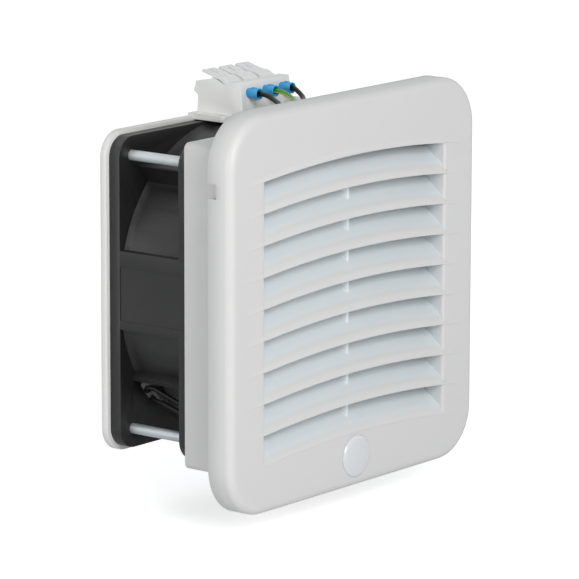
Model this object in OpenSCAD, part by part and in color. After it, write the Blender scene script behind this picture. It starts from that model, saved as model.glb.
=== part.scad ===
// Filter fan for an enclosure door: louvred cover, filter mat, base frame, axial fan and terminal block.
// X runs to the right, Y runs into the enclosure and Z up. Y is zero on the outer face of the door.

/* [Door] */
// Side of the square cut-out in the door
cutout_w = 125; // [122:0.5:127]
// Play between the housing and each side of the cut-out
cutout_play = 0.9; // [0.5:0.1:1.5]
// Distance across the door between the fixing screws
screw_span_x = 134.4; // [133:0.2:136]
// Distance up the door between the fixing screws
screw_span_z = 72; // [50:1:100]
// Diameter of the holes for the fixing screws
screw_hole_d = 4.3; // [3.4:0.1:4.6]

/* [Cover] */
// Width and height of the cover
cover_w = 150; // [148:0.5:156]
// Depth of the cover from its rear rim to its flat front
cover_d = 11; // [10:0.5:16]
// Gap between the rear rim and the door
rim_gap = 1; // [0.5:0.1:1.5]
// Wall of the cover
cover_wall = 2.4; // [1.8:0.1:2.6]
// Radius of the cover's corners seen from the front
cover_corner_r = 19.5; // [14:0.5:19.5]
// Radius of the edge round the front
cover_edge_r = 3.2; // [2:0.1:3.6]
// Diameter of the round badge
badge_d = 16.4; // [12:0.2:18]
// Distance of the badge below the middle of the cover
badge_drop = 63; // [62.5:0.5:65]

/* [Louvres] */
// Number of openings
louvre_count = 9; // [5:1:9]
// Distance between two slats
louvre_pitch = 11.88; // [11:0.02:11.9]
// Height of the topmost louvre line above the middle
louvre_top_z = 53; // [50:0.5:54]
// Radius of the curved louvre lines
louvre_r = 500; // [400:10:900]
// Half of the width of the openings
louvre_half_w = 55; // [40:0.5:55]
// Height of the front face of a slat
slat_face_h = 2.5; // [1.5:0.1:3]
// Slope of a slat upwards to the rear
slat_angle = 39; // [30:1:42]
// How far a lip stands out from the front at its middle
lip_proud = 0.9; // [0.4:0.1:1.2]
// Half of the length of a lip from point to point
lip_half_w = 67; // [60:0.5:69]

/* [Base frame] */
// Thickness of the flange on the door
flange_t = 2.5; // [2:0.1:3]
// Thickness of the gasket between flange and door
gasket_t = 1.5; // [1:0.1:2]
// Wall of the housing
base_wall = 2.2; // [1.8:0.1:2.4]
// Depth of the housing behind the door
base_d = 21; // [20:0.5:26]
// Thickness of the housing's rear wall
base_rear_t = 2; // [1.6:0.1:3]
// Thickness of the filter mat
mat_t = 11; // [8:0.5:11]
// Thickness of the grid behind the mat
guard_t = 2; // [1.5:0.1:2]
// Number of cells of the grid in each direction
guard_cells = 9; // [6:1:11]

/* [Fan] */
// Side of the fan
fan_w = 119.5; // [118:0.5:120]
// Depth of the fan
fan_d = 38; // [36:0.5:42]
// Distance between the fan's screws
fan_pitch = 104.8; // [104:0.2:105.2]
// Thickness of the front flange
fan_front_t = 4.4; // [3:0.2:6]
// Thickness of the rear flange
fan_rear_t = 5; // [3:0.2:6]
// Outer radius of the fan's ring
ring_r = 58.6; // [58.2:0.1:58.8]
// Wall of the fan's ring
ring_wall = 1.6; // [1.2:0.1:2]
// Radius of the corners of the fan
fan_corner_r = 8; // [6.5:0.5:9]
// Diameter of the fan's screws
fan_screw_d = 4; // [3.5:0.1:4]

/* [Impeller] */
// Number of blades
blade_count = 7; // [5:1:9]
// Outer radius of the hub
hub_r = 33; // [32:0.5:36]
// Wall of the hub
hub_wall = 2.2; // [2:0.1:2.6]
// Running gap between the blades and the ring
tip_gap = 0.8; // [0.6:0.1:1.5]
// Thickness of a blade in its middle
blade_t = 1.8; // [1.2:0.1:2.4]
// Radius of the shaft
shaft_r = 2; // [1.5:0.1:2.2]

/* [Rear frame and terminals] */
// Thickness of the rear frame
rear_t = 3; // [2.5:0.1:4]
// How far the rear frame stands out round the fan
rear_proud = 1.7; // [1:0.1:2.2]
// Distance between two poles of the terminal block
pole_pitch = 10; // [9.6:0.1:12]
// Length of the terminal block from rear to front
block_l = 21; // [20:0.5:24]
// Height of the front of the terminal block
block_h = 11.3; // [11:0.1:13]

/* [Hidden] */
$fn = 96;
arc_fn = 720;
overrun = 0.5;

// Colours
pale_grey = [0.83, 0.84, 0.84];
fan_black = [0.10, 0.10, 0.11];
steel_tone = [0.72, 0.73, 0.75];
copper_tone = [0.75, 0.42, 0.22];

// Cover and louvres, with depth forward of the door counted positive
cover_front = rim_gap + cover_d;
cover_core = cover_w / 2 - cover_corner_r;
slat_gap = 1.6;
slat_rear = rim_gap + slat_gap;
slat_sink = 0.2;
slat_rise = (cover_front - slat_rear) * tan(slat_angle);
jamb_t = 2;
jamb_rear = slat_rear - slat_sink;
louvre_sag = louvre_r - sqrt(louvre_r * louvre_r - louvre_half_w * louvre_half_w);
louvre_bottom_z = louvre_top_z - louvre_count * louvre_pitch;
slat_half_angle = asin((louvre_half_w + jamb_t / 2) / (louvre_r + slat_rise / 2));
lip_half_angle = asin((lip_half_w + jamb_t) / louvre_r);
lip_bow_r = (lip_half_w * lip_half_w + lip_proud * lip_proud) / (2 * lip_proud);
bottom_lip_share = 0.4;
lip_root = 0.4;
lip_sink = 0.1;
rib_w = 2;
rib_front = 7.1;
notch_z = 43.2;
notch_h = 5.8;
notch_d = 3.9;
badge_rim = 0.5;
badge_crown = 1;

// Hinge at the cover's lower edge
hinge_x = 45;
hinge_set_back = 1.1;
hinge_depth = rim_gap + hinge_set_back;
hinge_pin_r = 0.75;
hinge_pin_l = 14;
hinge_knuckle_r = 1.4;
hinge_knuckle_w = 6;
hinge_side_play = 0.3;
hinge_rise = 0.2;
hinge_z = -cover_w / 2 + hinge_knuckle_r + hinge_rise;
hinge_play = 0.05;
pin_seat_play = 0.02;
hinge_neck_d = 2;
hinge_slot_d = 2;

// Base frame
house_half = cutout_w / 2 - cutout_play;
flange_play = 0.8;
flange_half = cover_w / 2 - cover_wall - flange_play;
flange_corner_r = cover_corner_r - cover_wall - flange_play;
flange_front = gasket_t + flange_t;
house_corner_r = 2.6;
house_inner = house_half - base_wall;
gasket_out_margin = 1.8;
gasket_in_play = 1.2;
soft_play = 0.3;
mat_front = 0.8;
guard_y = mat_t - mat_front + soft_play;
guard_bar = 1.8;
guard_rim = 3.4;
guard_play = 0.4;
ledge_t = 1.5;
ledge_w = 2.2;
ledge_y = guard_y + guard_t;
rear_wall_y = base_d - base_rear_t;
screw_xz = fan_pitch / 2;
screw_r = fan_screw_d / 2;
screw_play = 0.25;
nut_across = 7;
nut_t = 3.2;
nut_play = 0.1;
boss_wall = 1.4;
boss_r = nut_across / sqrt(3) + nut_play + boss_wall;
nut_cover = 0.4;
boss_y = rear_wall_y - nut_t - nut_cover;
earth_t = 0.6;
crimp_l = 3;
crimp_r = 1.5;

// Wire slot in the top wall of the housing and hole for the leads
slot_x0 = -12.5;
slot_x1 = 8;
slot_play = 0.2;
lead_hole_x = -50.2;
lead_hole_z = -44;
lead_hole_r = 3.2;

// Fan
fan_y0 = base_d;
fan_y1 = base_d + fan_d;
bore_r = ring_r - ring_wall;
flare = 1.2;
ring_flare = 1.1;
ring_flare_d = 3;
pad_z0 = -13;
pad_z1 = 17;
pad_recess = 0.3;
label_z0 = -9.7;
label_z1 = 10.8;
web_t = 2;
web_reach = 68.6;
lead_angle = 219.6;
lead_boss_r = ring_r + 1.2;
lead_boss_w = 13;
lead_boss_l = 9;
grommet_h = 1.6;
grommet_half_w = 5.7;
grommet_half_l = 3;
grommet_flat = 0.4;
lead_step = 2.2;
side_rib_angle = 212.3;
side_rib_reach = 62.5;
side_rib_t = 1.4;
strut_w = 5;
strut_t = 4.5;
strut_count = 4;
motor_plate_t = 3;
motor_plate_r = 32;

// Motor, from the shaft outwards
tube_wall = 2;
ball_race_r = 6.5;
race_w = 5;
race_wall = 1.5;
shield_t = 0.4;
shield_gap = 0.25;
tube_r = ball_race_r + tube_wall;
tube_shoulder_r = 5.3;
tube_inset = 9.6;
tube_y0 = fan_y0 + tube_inset;
race_inset = 0.4;
front_race_y = tube_y0 + race_inset;
race_span = 18;
rear_race_y = front_race_y + race_span;
washer_t = 0.5;
core_inset = 3;
core_y0 = front_race_y + core_inset;
core_t = 14;
core_yoke = 4.5;
core_out_r = 27;
stem_w = 8;
shoe_t = 5.5;
shoe_angle = 66;
shade_leg_angle = 3;
shade_tip_angle = 16;
shade_t = 1.2;
shade_depth = 4;
shade_r = core_out_r - shade_depth;
shade_w = 2.4;
bobbin_t = 0.8;
bobbin_flange = 4.2;
coil_t = 3.6;
pole_count = 4;
stem_play = 0.3;
stem_r0 = tube_r + core_yoke + stem_play;
stem_r1 = sqrt(pow(core_out_r - shoe_t, 2) - pow(stem_w / 2 + bobbin_flange, 2)) - stem_play;
air_gap = 0.4;
cage_t = 1.6;
can_t = 1.4;
can_in_r = core_out_r + air_gap + cage_t;
can_r = can_in_r + can_t;
hub_front_gap = 3;
hub_rear_gap = 7;
hub_y0 = fan_y0 + hub_front_gap;
hub_y1 = fan_y1 - hub_rear_gap;
hub_cap_t = 2;
hub_edge_r = 3;
can_play = 0.2;
can_short = 1;
ring_over = 0.5;
shaft_end = 2;
clip_play = 0.1;
can_y0 = hub_y0 + hub_cap_t + can_play;
can_boss_r = 5;
clip_t = 0.6;
clip_in_share = 0.82;
clip_out_share = 1.65;

// Blades
blade_root_r = hub_r - hub_wall / 2;
blade_tip_r = bore_r - tip_gap;
blade_y = (hub_y0 + hub_y1) / 2;
root_chord = 29;
tip_chord = 42;
root_stagger = 48;
tip_stagger = 27;
blade_camber = 2.6;
blade_rows = 5;
blade_cols = 7;

// Rear frame and the shelf for the terminal block
rear_y1 = fan_y1 + rear_t;
rear_half = fan_w / 2 + rear_proud;
rear_corner_r = fan_corner_r + rear_proud;
outlet_rebate = 1.6;
outlet_t = 1.4;
outlet_ring_w = 1.6;
outlet_ring_gap = 9.4;
outlet_spokes = 8;
outlet_play = 0.2;
shelf_gap = 0.4;
shelf_z0 = fan_w / 2 + shelf_gap;
shelf_t = 2.3;
shelf_z1 = shelf_z0 + shelf_t;
shelf_margin = 5;
shelf_corner_r = 2;
shelf_slot_at = 1.2;
shelf_slot_w = 2.5;
shelf_slot_gap = 1.6;
shelf_slot_l = 4.5;
shelf_front = 17.6;
pan_head_r = 3.9;
pan_head_h = 2.6;
washer_r = 4.5;
washer_h = 0.8;
drive_w = 1;
drive_d = 1.2;
screw_over = 1;

// Terminal block
poles = 3;
block_x0 = -5.1;
block_w = poles * pole_pitch;
block_set_in = 0.5;
block_rear_y = rear_y1 - block_set_in;
block_z0 = shelf_z1;
channel_w_share = 0.88;
block_top_share = 1.3;
block_overhang = 3;
block_out_shares = [
    [0, 0], [0.02, 0.56], [-0.08, 0.68], [-0.02, 1.04], [0.39, 1.19], [0.63, 0.99], [1, 1], [1, 0]
];
channel_shares = [
    [-0.2, 0.90], [0.50, 0.90], [0.60, 0.74], [0.79, 0.74], [0.79, 1.3], [-0.2, 1.3]
];
pivot_y = block_rear_y - 0.71 * block_l;
pivot_z = block_z0 + 0.87 * block_h;
pivot_r = 0.7;
pivot_play = 0.05;
lever_knuckle_r = 1.15;
lever_side_play = 0.25;
stub_l = 0.25;
lever_shares = [
    [0.74, 0.96], [0.66, 1.20], [0.48, 1.42], [0.30, 1.50], [0.11, 1.42],
    [0.12, 1.32], [0.37, 1.27], [0.62, 1.05], [0.66, 0.86]
];
entry_w = 4.8;
entry_l = 8;
entry_z_share = 0.16;
ferrule_z_share = 0.75;
pocket_w_share = 0.62;
bar_t = 1;
bar_play = 0.3;
spring_t = 0.5;
spring_margin = 0.5;
spring_l = 6;
spring_h = 3.2;
spring_reach = 3.2;
pocket_y0_share = 0.80;
pocket_y1_share = 0.42;
pocket_z_share = 0.42;
collar_l = 8.6;
collar_r = 1.85;
collar_mouth_r = 2.4;
collar_nub = 0.5;
sleeve_r = 0.85;
sleeve_wall = 0.15;
sleeve_in = 4.5;
wire_r = 0.95;
wire_play = 0.15;
wire_sides = 8;
ferrule_z = block_z0 + ferrule_z_share * block_h;
front_y = block_rear_y - block_l;

// Routes of the wires, from the terminal block to the fan
lead_route_1 = [
    [-0.1, 36, 71], [-0.1, 31.5, 71], [-2, 28, 71.2], [-5.5, 23.5, 70.8], [-8.2, 19.5, 69.6],
    [-9.5, 16.6, 67.5], [-9.8, 15.8, 64.5], [-9.8, 15.6, 61], [-12, 15.5, 58.4], [-17, 15.4, 57.4],
    [-32, 15.4, 57.4], [-36, 15.4, 55.8], [-55.8, 15.4, 36], [-57.4, 15.4, 32], [-57.4, 15.4, 0],
    [-57.4, 15.4, -33], [-56.4, 15.6, -38], [-53, 16.4, -41.6], [-50.8, 19, -42.4],
    [-50.2, 24, -42.4], [-50.2, 32, -40.6], [-50.4, 40, -38], [-50.8, 45, -36.2], [-51, 48, -36.2],
    [-50.4, 49.4, -37.4], [-49.2, 49.5, -37.8], [-47.6, 49.5, -36.5]
];
lead_route_2 = [
    [19.9, 36, 71], [19.9, 31.5, 71], [17, 28, 71.3], [10.5, 23.5, 71], [4.4, 19.5, 69.8],
    [1.5, 16.8, 67.5], [0.6, 17.2, 64.5], [0.4, 17.6, 61], [-2, 17.6, 58.4], [-7, 17.6, 57.4],
    [-32.4, 17.6, 57.4], [-36.4, 17.6, 55.8], [-55.8, 17.6, 36.4], [-57.4, 17.6, 32.4], [-57.4, 17.6, 0],
    [-57.4, 17.6, -36], [-56.4, 17.4, -40.6], [-53.6, 17.4, -43.8], [-51, 19, -45.2],
    [-50.3, 21.4, -45.4], [-50.2, 25.4, -45.2], [-50.2, 32, -43.9], [-50.4, 38, -42.2],
    [-50.2, 43.6, -41], [-49.4, 47.6, -40.8], [-47.8, 49.4, -41.8], [-46.4, 49.5, -41.2], [-44.8, 49.5, -39.9]
];
earth_route = [
    [9.9, 36, 71], [9.9, 31.5, 71], [7.6, 28, 71.2], [3.6, 23.5, 70.8], [-0.6, 19.5, 69.6],
    [-3.4, 16.6, 67.2], [-3.8, 16.2, 64.5], [-3.6, 16, 61], [-1, 15.6, 58], [4, 15.2, 56.6],
    [28, 15.4, 56], [34, 16.4, 54.4], [38, 17.3, 52.7], [41, 17.4, 52.4], [45, 17.4, 52.4]
];

// Stands a plan drawn across and up, as a plate from depth y0 to depth y1
module slab(y0, y1) translate([0, y1, 0]) rotate([90, 0, 0]) linear_extrude(y1 - y0) children();

// Turns a section drawn as radius and depth round the fan's axis
module turned(part_fn = 96) rotate([-90, 0, 0]) rotate_extrude($fn = part_fn) children();

// Cylinder that runs into the enclosure from depth y0 to depth y1
module rod(r, y0, y1, x = 0, z = 0) translate([x, y0, z]) rotate([-90, 0, 0]) cylinder(r = r, h = y1 - y0);

// Cylinder across the part from x0 to x1
module axle(r, x0, x1, y, z) translate([x0, y, z]) rotate([0, 90, 0]) cylinder(r = r, h = x1 - x0);

// Box between two opposite corners
module block(a, b) translate(a) cube(b - a);

// Rectangle with round corners, half wide and half high
module rounded(half_x, half_z, r) {
    square([2 * half_x - 2 * r, 2 * half_z], center = true);
    square([2 * half_x, 2 * half_z - 2 * r], center = true);
    for (sx = [-1, 1], sz = [-1, 1]) translate([sx * (half_x - r), sz * (half_z - r)]) circle(r);
}

// Places a child at each of the four fan screws
module at_screws() for (sx = [-1, 1], sz = [-1, 1]) translate([sx * screw_xz, 0, sz * screw_xz]) children();

// Direction of a route at one of its points
function unit(v) = v / norm(v);
function along(p, i) = unit(p[min(i + 1, len(p) - 1)] - p[max(i - 1, 0)]);

// Side vectors of a route, carried along so that the tube isn't twisted
function carried(p, i, side) =
    let (t = along(p, i), m = unit(side - (side * t) * t))
    i == len(p) - 1 ? [m] : concat([m], carried(p, i + 1, m));

// Round wire swept along a route
module wire(route) {
    sides = carried(route, 0, [0, 0, 1]);
    n = wire_sides;
    last = (len(route) - 1) * n;
    points = [
        for (i = [0:len(route) - 1], k = [0:n - 1])
            let (a = 360 * k / n, t = along(route, i))
            route[i] + wire_r * (cos(a) * sides[i] + sin(a) * cross(t, sides[i]))
    ];
    quads = [
        for (i = [0:len(route) - 2], k = [0:n - 1])
            let (a = i * n + k, b = i * n + (k + 1) % n)
            each [[a, b, b + n], [a, b + n, a + n]]
    ];
    ends = [
        for (k = [1:n - 2]) each [[0, k + 1, k], [last, last + k, last + k + 1]]
    ];
    polyhedron(points, concat(quads, ends));
}

// Section of the cover's wall, edge and front margin, drawn as distance outwards and distance forwards
module rim_section() difference() {
    union() {
        translate([0, rim_gap]) square([cover_corner_r, cover_d - cover_edge_r]);
        translate([0, rim_gap]) square([cover_corner_r - cover_edge_r, cover_d]);
        translate([cover_corner_r - cover_edge_r, cover_front - cover_edge_r]) circle(cover_edge_r);
    }
    translate([-overrun, rim_gap - overrun])
        square([cover_corner_r - cover_wall + overrun, cover_d - cover_wall + overrun]);
}

// Wall and front of the cover before its openings are cut, lying on its back
module cover_shell() {
    for (a = [0:90:270]) rotate([0, 0, a]) translate([cover_core, cover_core, 0]) {
        rotate_extrude(angle = 90) rim_section();
        rotate([90, 0, 0]) linear_extrude(2 * cover_core) rim_section();
    }
    translate([-cover_core - overrun, -cover_core - overrun, cover_front - cover_wall])
        cube([2 * cover_core + 2 * overrun, 2 * cover_core + 2 * overrun, cover_wall]);
}

// Height of louvre line k in the middle of the cover
function line_z(k) = louvre_top_z - k * louvre_pitch;

// Turns a section round the centre of louvre line k, over an angle to both sides
module louvre_arc(k, half_angle)
    translate([0, line_z(k) - louvre_r, 0]) rotate([0, 0, 90 - half_angle])
        rotate_extrude(angle = 2 * half_angle, $fn = arc_fn) children();

// Window for all the louvres, between its curved top and bottom lines
module louvre_window() translate([0, 0, jamb_rear - overrun])
    linear_extrude(cover_front - jamb_rear + 2 * overrun) difference() {
        intersection() {
            translate([0, line_z(0) - louvre_r]) circle(louvre_r, $fn = arc_fn);
            translate([-louvre_half_w, louvre_bottom_z - louvre_sag])
                square([2 * louvre_half_w, louvre_top_z - louvre_bottom_z + louvre_sag]);
        }
        translate([0, line_z(louvre_count) + slat_face_h / 2 - louvre_r]) circle(louvre_r, $fn = arc_fn);
    }

// One slat, which rises to the rear
module slat(k) louvre_arc(k, slat_half_angle) polygon([
    [louvre_r, cover_front - slat_sink], [louvre_r + slat_face_h, cover_front - slat_sink],
    [louvre_r + slat_face_h + slat_rise, slat_rear], [louvre_r + slat_rise, slat_rear]
]);

// Curved lip along louvre line k, proud in the middle and level with the front at both points
module lip(k) {
    share = k == louvre_count ? bottom_lip_share : 1;
    intersection() {
        louvre_arc(k, lip_half_angle) polygon([
            [louvre_r, cover_front - lip_root], [louvre_r, cover_front + share * lip_proud],
            [louvre_r + slat_face_h, cover_front - lip_sink], [louvre_r + slat_face_h, cover_front - lip_root]
        ]);
        translate([0, line_z(k) - lip_half_w, cover_front + share * lip_proud - lip_bow_r])
            rotate([-90, 0, 0]) cylinder(r = lip_bow_r, h = 2 * lip_half_w, $fn = 2 * arc_fn);
    }
}

module front_cover() color(pale_grey) difference() {
    union() {
        rotate([90, 0, 0]) {
            difference() {
                union() {
                    cover_shell();
                    for (s = [-1, 1])
                        translate([s * louvre_half_w - jamb_t, louvre_bottom_z - louvre_sag, jamb_rear])
                            cube([2 * jamb_t, louvre_top_z - louvre_bottom_z + jamb_t,
                                cover_front - cover_wall / 2 - jamb_rear]);
                }
                louvre_window();
            }
            for (k = [1:louvre_count]) slat(k);
            for (k = [0:louvre_count]) lip(k);
            translate([-rib_w / 2, line_z(louvre_count) + slat_face_h + jamb_t, slat_rear + slat_sink])
                cube([rib_w, line_z(1) - line_z(louvre_count) + jamb_t / 2, rib_front - slat_rear - slat_sink]);
        }
        for (s = [-1, 1]) axle(hinge_knuckle_r, s * hinge_x - hinge_pin_l / 2, s * hinge_x + hinge_pin_l / 2,
            -hinge_depth, hinge_z);
    }
    for (s = [-1, 1]) {
        block([s * cover_w / 2 - cover_wall - overrun, -rim_gap - notch_d, notch_z],
            [s * cover_w / 2 + cover_wall + overrun, overrun, notch_z + notch_h]);
        axle(hinge_pin_r + pin_seat_play, s * hinge_x - hinge_pin_l / 2 - overrun,
            s * hinge_x + hinge_pin_l / 2 + overrun, -hinge_depth, hinge_z);
        block([s * hinge_x - hinge_knuckle_w / 2 - hinge_side_play, -hinge_depth - hinge_slot_d,
            -cover_w / 2 - overrun],
            [s * hinge_x + hinge_knuckle_w / 2 + hinge_side_play, overrun,
            hinge_z + hinge_knuckle_r + overrun]);
    }
}

module cover_badge() color([0.88, 0.89, 0.90]) {
    crown_r = (badge_d * badge_d / 4 + badge_crown * badge_crown) / (2 * badge_crown);
    translate([0, 0, -badge_drop]) intersection() {
        rod(badge_d / 2, -cover_front - badge_rim - badge_crown, -cover_front);
        translate([0, -cover_front - badge_rim - badge_crown + crown_r, 0]) sphere(crown_r, $fn = 2 * $fn);
    }
}

module hinge_pins() color(steel_tone)
    for (s = [-1, 1]) axle(hinge_pin_r, s * hinge_x - hinge_pin_l / 2, s * hinge_x + hinge_pin_l / 2,
        -hinge_depth, hinge_z);

// Plan of the four fixing holes
module fixing_holes() for (sx = [-1, 1], sz = [-1, 1])
    translate([sx * screw_span_x / 2, sz * screw_span_z / 2]) circle(screw_hole_d / 2);

module gasket() color([0.25, 0.25, 0.26]) slab(-gasket_t, 0) difference() {
    rounded(flange_half - gasket_out_margin, flange_half - gasket_out_margin,
        flange_corner_r - gasket_out_margin);
    rounded(house_half + gasket_in_play, house_half + gasket_in_play, house_corner_r + gasket_in_play);
    fixing_holes();
}

module base_frame() color(pale_grey) difference() {
    union() {
        slab(-flange_front, -gasket_t) rounded(flange_half, flange_half, flange_corner_r);
        slab(-flange_front, base_d) rounded(house_half, house_half, house_corner_r);
        for (s = [-1, 1]) {
            axle(hinge_knuckle_r, s * hinge_x - hinge_knuckle_w / 2, s * hinge_x + hinge_knuckle_w / 2,
                -hinge_depth, hinge_z);
            block([s * hinge_x - hinge_knuckle_w / 2, -hinge_depth - hinge_knuckle_r, hinge_z],
                [s * hinge_x + hinge_knuckle_w / 2, -hinge_depth - hinge_knuckle_r + hinge_neck_d,
                -flange_half + overrun]);
        }
    }
    difference() {
        slab(-flange_front - overrun, rear_wall_y)
            rounded(house_inner, house_inner, house_corner_r - base_wall / 2);
        slab(ledge_y, ledge_y + ledge_t) difference() {
            rounded(house_inner + overrun, house_inner + overrun, house_corner_r);
            rounded(house_inner - ledge_w, house_inner - ledge_w, house_corner_r);
        }
        at_screws() rod(boss_r, boss_y, base_d);
    }
    slab(-flange_front - overrun, -gasket_t + overrun) fixing_holes();
    rod(bore_r + flare, rear_wall_y - overrun, base_d + overrun);
    at_screws() rod(screw_r + screw_play, boss_y - overrun, base_d + overrun);
    at_screws() rod(nut_across / sqrt(3) + nut_play, boss_y - overrun, rear_wall_y, $fn = 6);
    block([screw_xz - boss_r - overrun, rear_wall_y - earth_t - nut_play, screw_xz - nut_across / 4],
        [screw_xz, rear_wall_y, screw_xz + nut_across / 4]);
    rod(lead_hole_r, rear_wall_y - overrun, base_d + overrun, lead_hole_x, lead_hole_z);
    block([slot_x0, ledge_y + ledge_t + slot_play, house_inner - overrun],
        [slot_x1, rear_wall_y - slot_play, house_half + overrun]);
    for (s = [-1, 1]) axle(hinge_pin_r + hinge_play, s * hinge_x - hinge_knuckle_w / 2 - overrun,
        s * hinge_x + hinge_knuckle_w / 2 + overrun, -hinge_depth, hinge_z);
}

module filter_mat() color([0.93, 0.93, 0.90])
    slab(-mat_front, mat_t - mat_front)
        rounded(house_inner - guard_play, house_inner - guard_play, house_corner_r);

module inlet_guard() color([0.55, 0.56, 0.57]) {
    half = house_inner - guard_play;
    cell = (2 * half - 2 * guard_rim + guard_bar) / guard_cells;
    slab(guard_y, guard_y + guard_t) difference() {
        rounded(half, half, house_corner_r);
        for (i = [0:guard_cells - 1], j = [0:guard_cells - 1])
            translate([guard_rim - half + i * cell, guard_rim - half + j * cell])
                square(cell - guard_bar);
    }
}

// Flat plate with the fan's outline, its screw holes and its round opening
module fan_flange(y0, y1) slab(y0, y1) difference() {
    rounded(fan_w / 2, fan_w / 2, fan_corner_r);
    circle(bore_r);
    for (sx = [-1, 1], sz = [-1, 1]) translate([sx * screw_xz, sz * screw_xz]) circle(screw_r + screw_play);
}

module fan_frame() color(fan_black) difference() {
    union() {
        fan_flange(fan_y0, fan_y0 + fan_front_t);
        fan_flange(fan_y1 - fan_rear_t, fan_y1);
        turned() translate([bore_r, fan_y0]) square([ring_wall, fan_d]);
        turned() polygon([
            [bore_r + ring_wall / 2, fan_y1 - fan_rear_t - ring_flare_d],
            [ring_r, fan_y1 - fan_rear_t - ring_flare_d],
            [ring_r + ring_flare, fan_y1 - fan_rear_t], [ring_r + ring_flare, fan_y1 - fan_rear_t + overrun],
            [bore_r + ring_wall / 2, fan_y1 - fan_rear_t + overrun]
        ]);
        intersection() {
            for (s = [-1, 1])
                block([s * fan_w / 2 - (s + 1) * ring_wall, fan_y0, pad_z0],
                    [s * fan_w / 2 - (s - 1) * ring_wall, fan_y1, pad_z1]);
            difference() {
                block([-fan_w / 2, fan_y0, -fan_w / 2], [fan_w / 2, fan_y1, fan_w / 2]);
                rod(bore_r, fan_y0 - overrun, fan_y1 + overrun);
            }
        }
        for (a = [45, 135, 315]) rotate([0, -a, 0])
            block([bore_r + ring_wall / 2, fan_y0 + fan_front_t - overrun, -web_t / 2],
                [web_reach, fan_y1 - fan_rear_t + overrun, web_t / 2]);
        rotate([0, -lead_angle, 0])
            block([bore_r + ring_wall / 2, fan_y1 - fan_rear_t - lead_boss_l, -lead_boss_w / 2],
                [lead_boss_r, fan_y1 - fan_rear_t + overrun, lead_boss_w / 2]);
        rotate([0, -side_rib_angle, 0])
            block([bore_r + ring_wall / 2, fan_y0 + fan_front_t - overrun, -side_rib_t / 2],
                [side_rib_reach, fan_y1 - fan_rear_t + overrun, side_rib_t / 2]);
        for (i = [0:strut_count - 1]) rotate([0, -lead_angle - i * 360 / strut_count, 0])
            block([tube_r, fan_y1 - strut_t, -strut_w / 2], [bore_r + ring_wall / 2, fan_y1, strut_w / 2]);
        rod(motor_plate_r, fan_y1 - motor_plate_t, fan_y1);
    }
    rod(tube_r, fan_y0, fan_y1 + overrun);
    for (s = [-1, 1])
        block([s * fan_w / 2 - pad_recess, fan_y0 + fan_front_t / 2, label_z0],
            [s * fan_w / 2 + pad_recess, fan_y1 - fan_rear_t, label_z1]);
    rod(lead_hole_r, fan_y0 - overrun, fan_y0 + fan_front_t + overrun, lead_hole_x, lead_hole_z);
}

module lead_grommet() color([0.2, 0.2, 0.21]) rotate([0, -lead_angle, 0])
    translate([lead_boss_r, fan_y1 - fan_rear_t - lead_boss_l / 2, 0]) rotate([0, 90, 0])
        linear_extrude(grommet_h) difference() {
            rounded(grommet_half_w, grommet_half_l, grommet_half_l - grommet_flat / 2);
            for (s = [-1, 1]) translate([s * lead_step, 0]) circle(wire_r + 2 * wire_play);
        }

module bearing_tube() color([0.78, 0.70, 0.45]) difference() {
    rod(tube_r, tube_y0, fan_y1);
    rod(tube_shoulder_r, tube_y0 - overrun, fan_y1 + overrun);
    rod(ball_race_r, tube_y0 - overrun, front_race_y + race_w);
    rod(ball_race_r, rear_race_y - washer_t, fan_y1 + overrun);
}

// Outer ring of a bearing with a shield at each end
module outer_race(y) turned() {
    translate([ball_race_r - race_wall, y]) square([race_wall, race_w]);
    for (at = [y, y + race_w - shield_t])
        translate([shaft_r + race_wall + shield_gap, at])
            square([ball_race_r - race_wall - shaft_r - race_wall - shield_gap, shield_t]);
}

module bearing_outer_rings() color(steel_tone) {
    outer_race(front_race_y);
    outer_race(rear_race_y);
}

module bearing_inner_rings() color(steel_tone) for (y = [front_race_y, rear_race_y])
    turned() translate([shaft_r, y]) square([race_wall, race_w]);

module preload_washer() color(steel_tone) turned()
    translate([tube_shoulder_r, rear_race_y - washer_t]) square([ball_race_r - tube_shoulder_r, washer_t]);

// Plan of the stator from the bearing tube to the pole shoes
module stator_plan() difference() {
    union() {
        circle(tube_r + core_yoke);
        for (i = [0:pole_count - 1]) rotate(i * 360 / pole_count) {
            translate([tube_r, -stem_w / 2]) square([core_out_r - tube_r - shoe_t / 2, stem_w]);
            rotate(-shoe_angle / 2) shoe_sector(core_out_r - shoe_t, core_out_r, shoe_angle);
        }
    }
    circle(tube_r);
    for (i = [0:pole_count - 1]) rotate(i * 360 / pole_count + shoe_angle / 2 - shade_tip_angle)
        shoe_sector(shade_r, core_out_r + overrun, shade_leg_angle);
}

// Part of a flat ring between two radii, over an angle
module shoe_sector(r0, r1, a) difference() {
    intersection() {
        circle(r1);
        polygon([[0, 0], [2 * r1, 0], [2 * r1 * cos(a / 2), 2 * r1 * sin(a / 2)], [2 * r1 * cos(a), 2 * r1 * sin(a)]]);
    }
    circle(r0);
}

module stator_core() color([0.45, 0.46, 0.48]) slab(core_y0, core_y0 + core_t) stator_plan();

// Rectangular tube round each stem, over a range of radii and between two thicknesses
module round_stems(r0, r1, inner, outer) for (i = [0:pole_count - 1])
    rotate([0, -i * 360 / pole_count, 0]) difference() {
        block([r0, core_y0 - outer, -stem_w / 2 - outer], [r1, core_y0 + core_t + outer, stem_w / 2 + outer]);
        block([r0 - overrun, core_y0 - inner, -stem_w / 2 - inner],
            [r1 + overrun, core_y0 + core_t + inner, stem_w / 2 + inner]);
    }

module stator_bobbins() color([0.85, 0.85, 0.80]) {
    round_stems(stem_r0, stem_r1, 0, bobbin_t);
    round_stems(stem_r0, stem_r0 + bobbin_t, 0, bobbin_flange);
    round_stems(stem_r1 - bobbin_t, stem_r1, 0, bobbin_flange);
}

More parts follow.
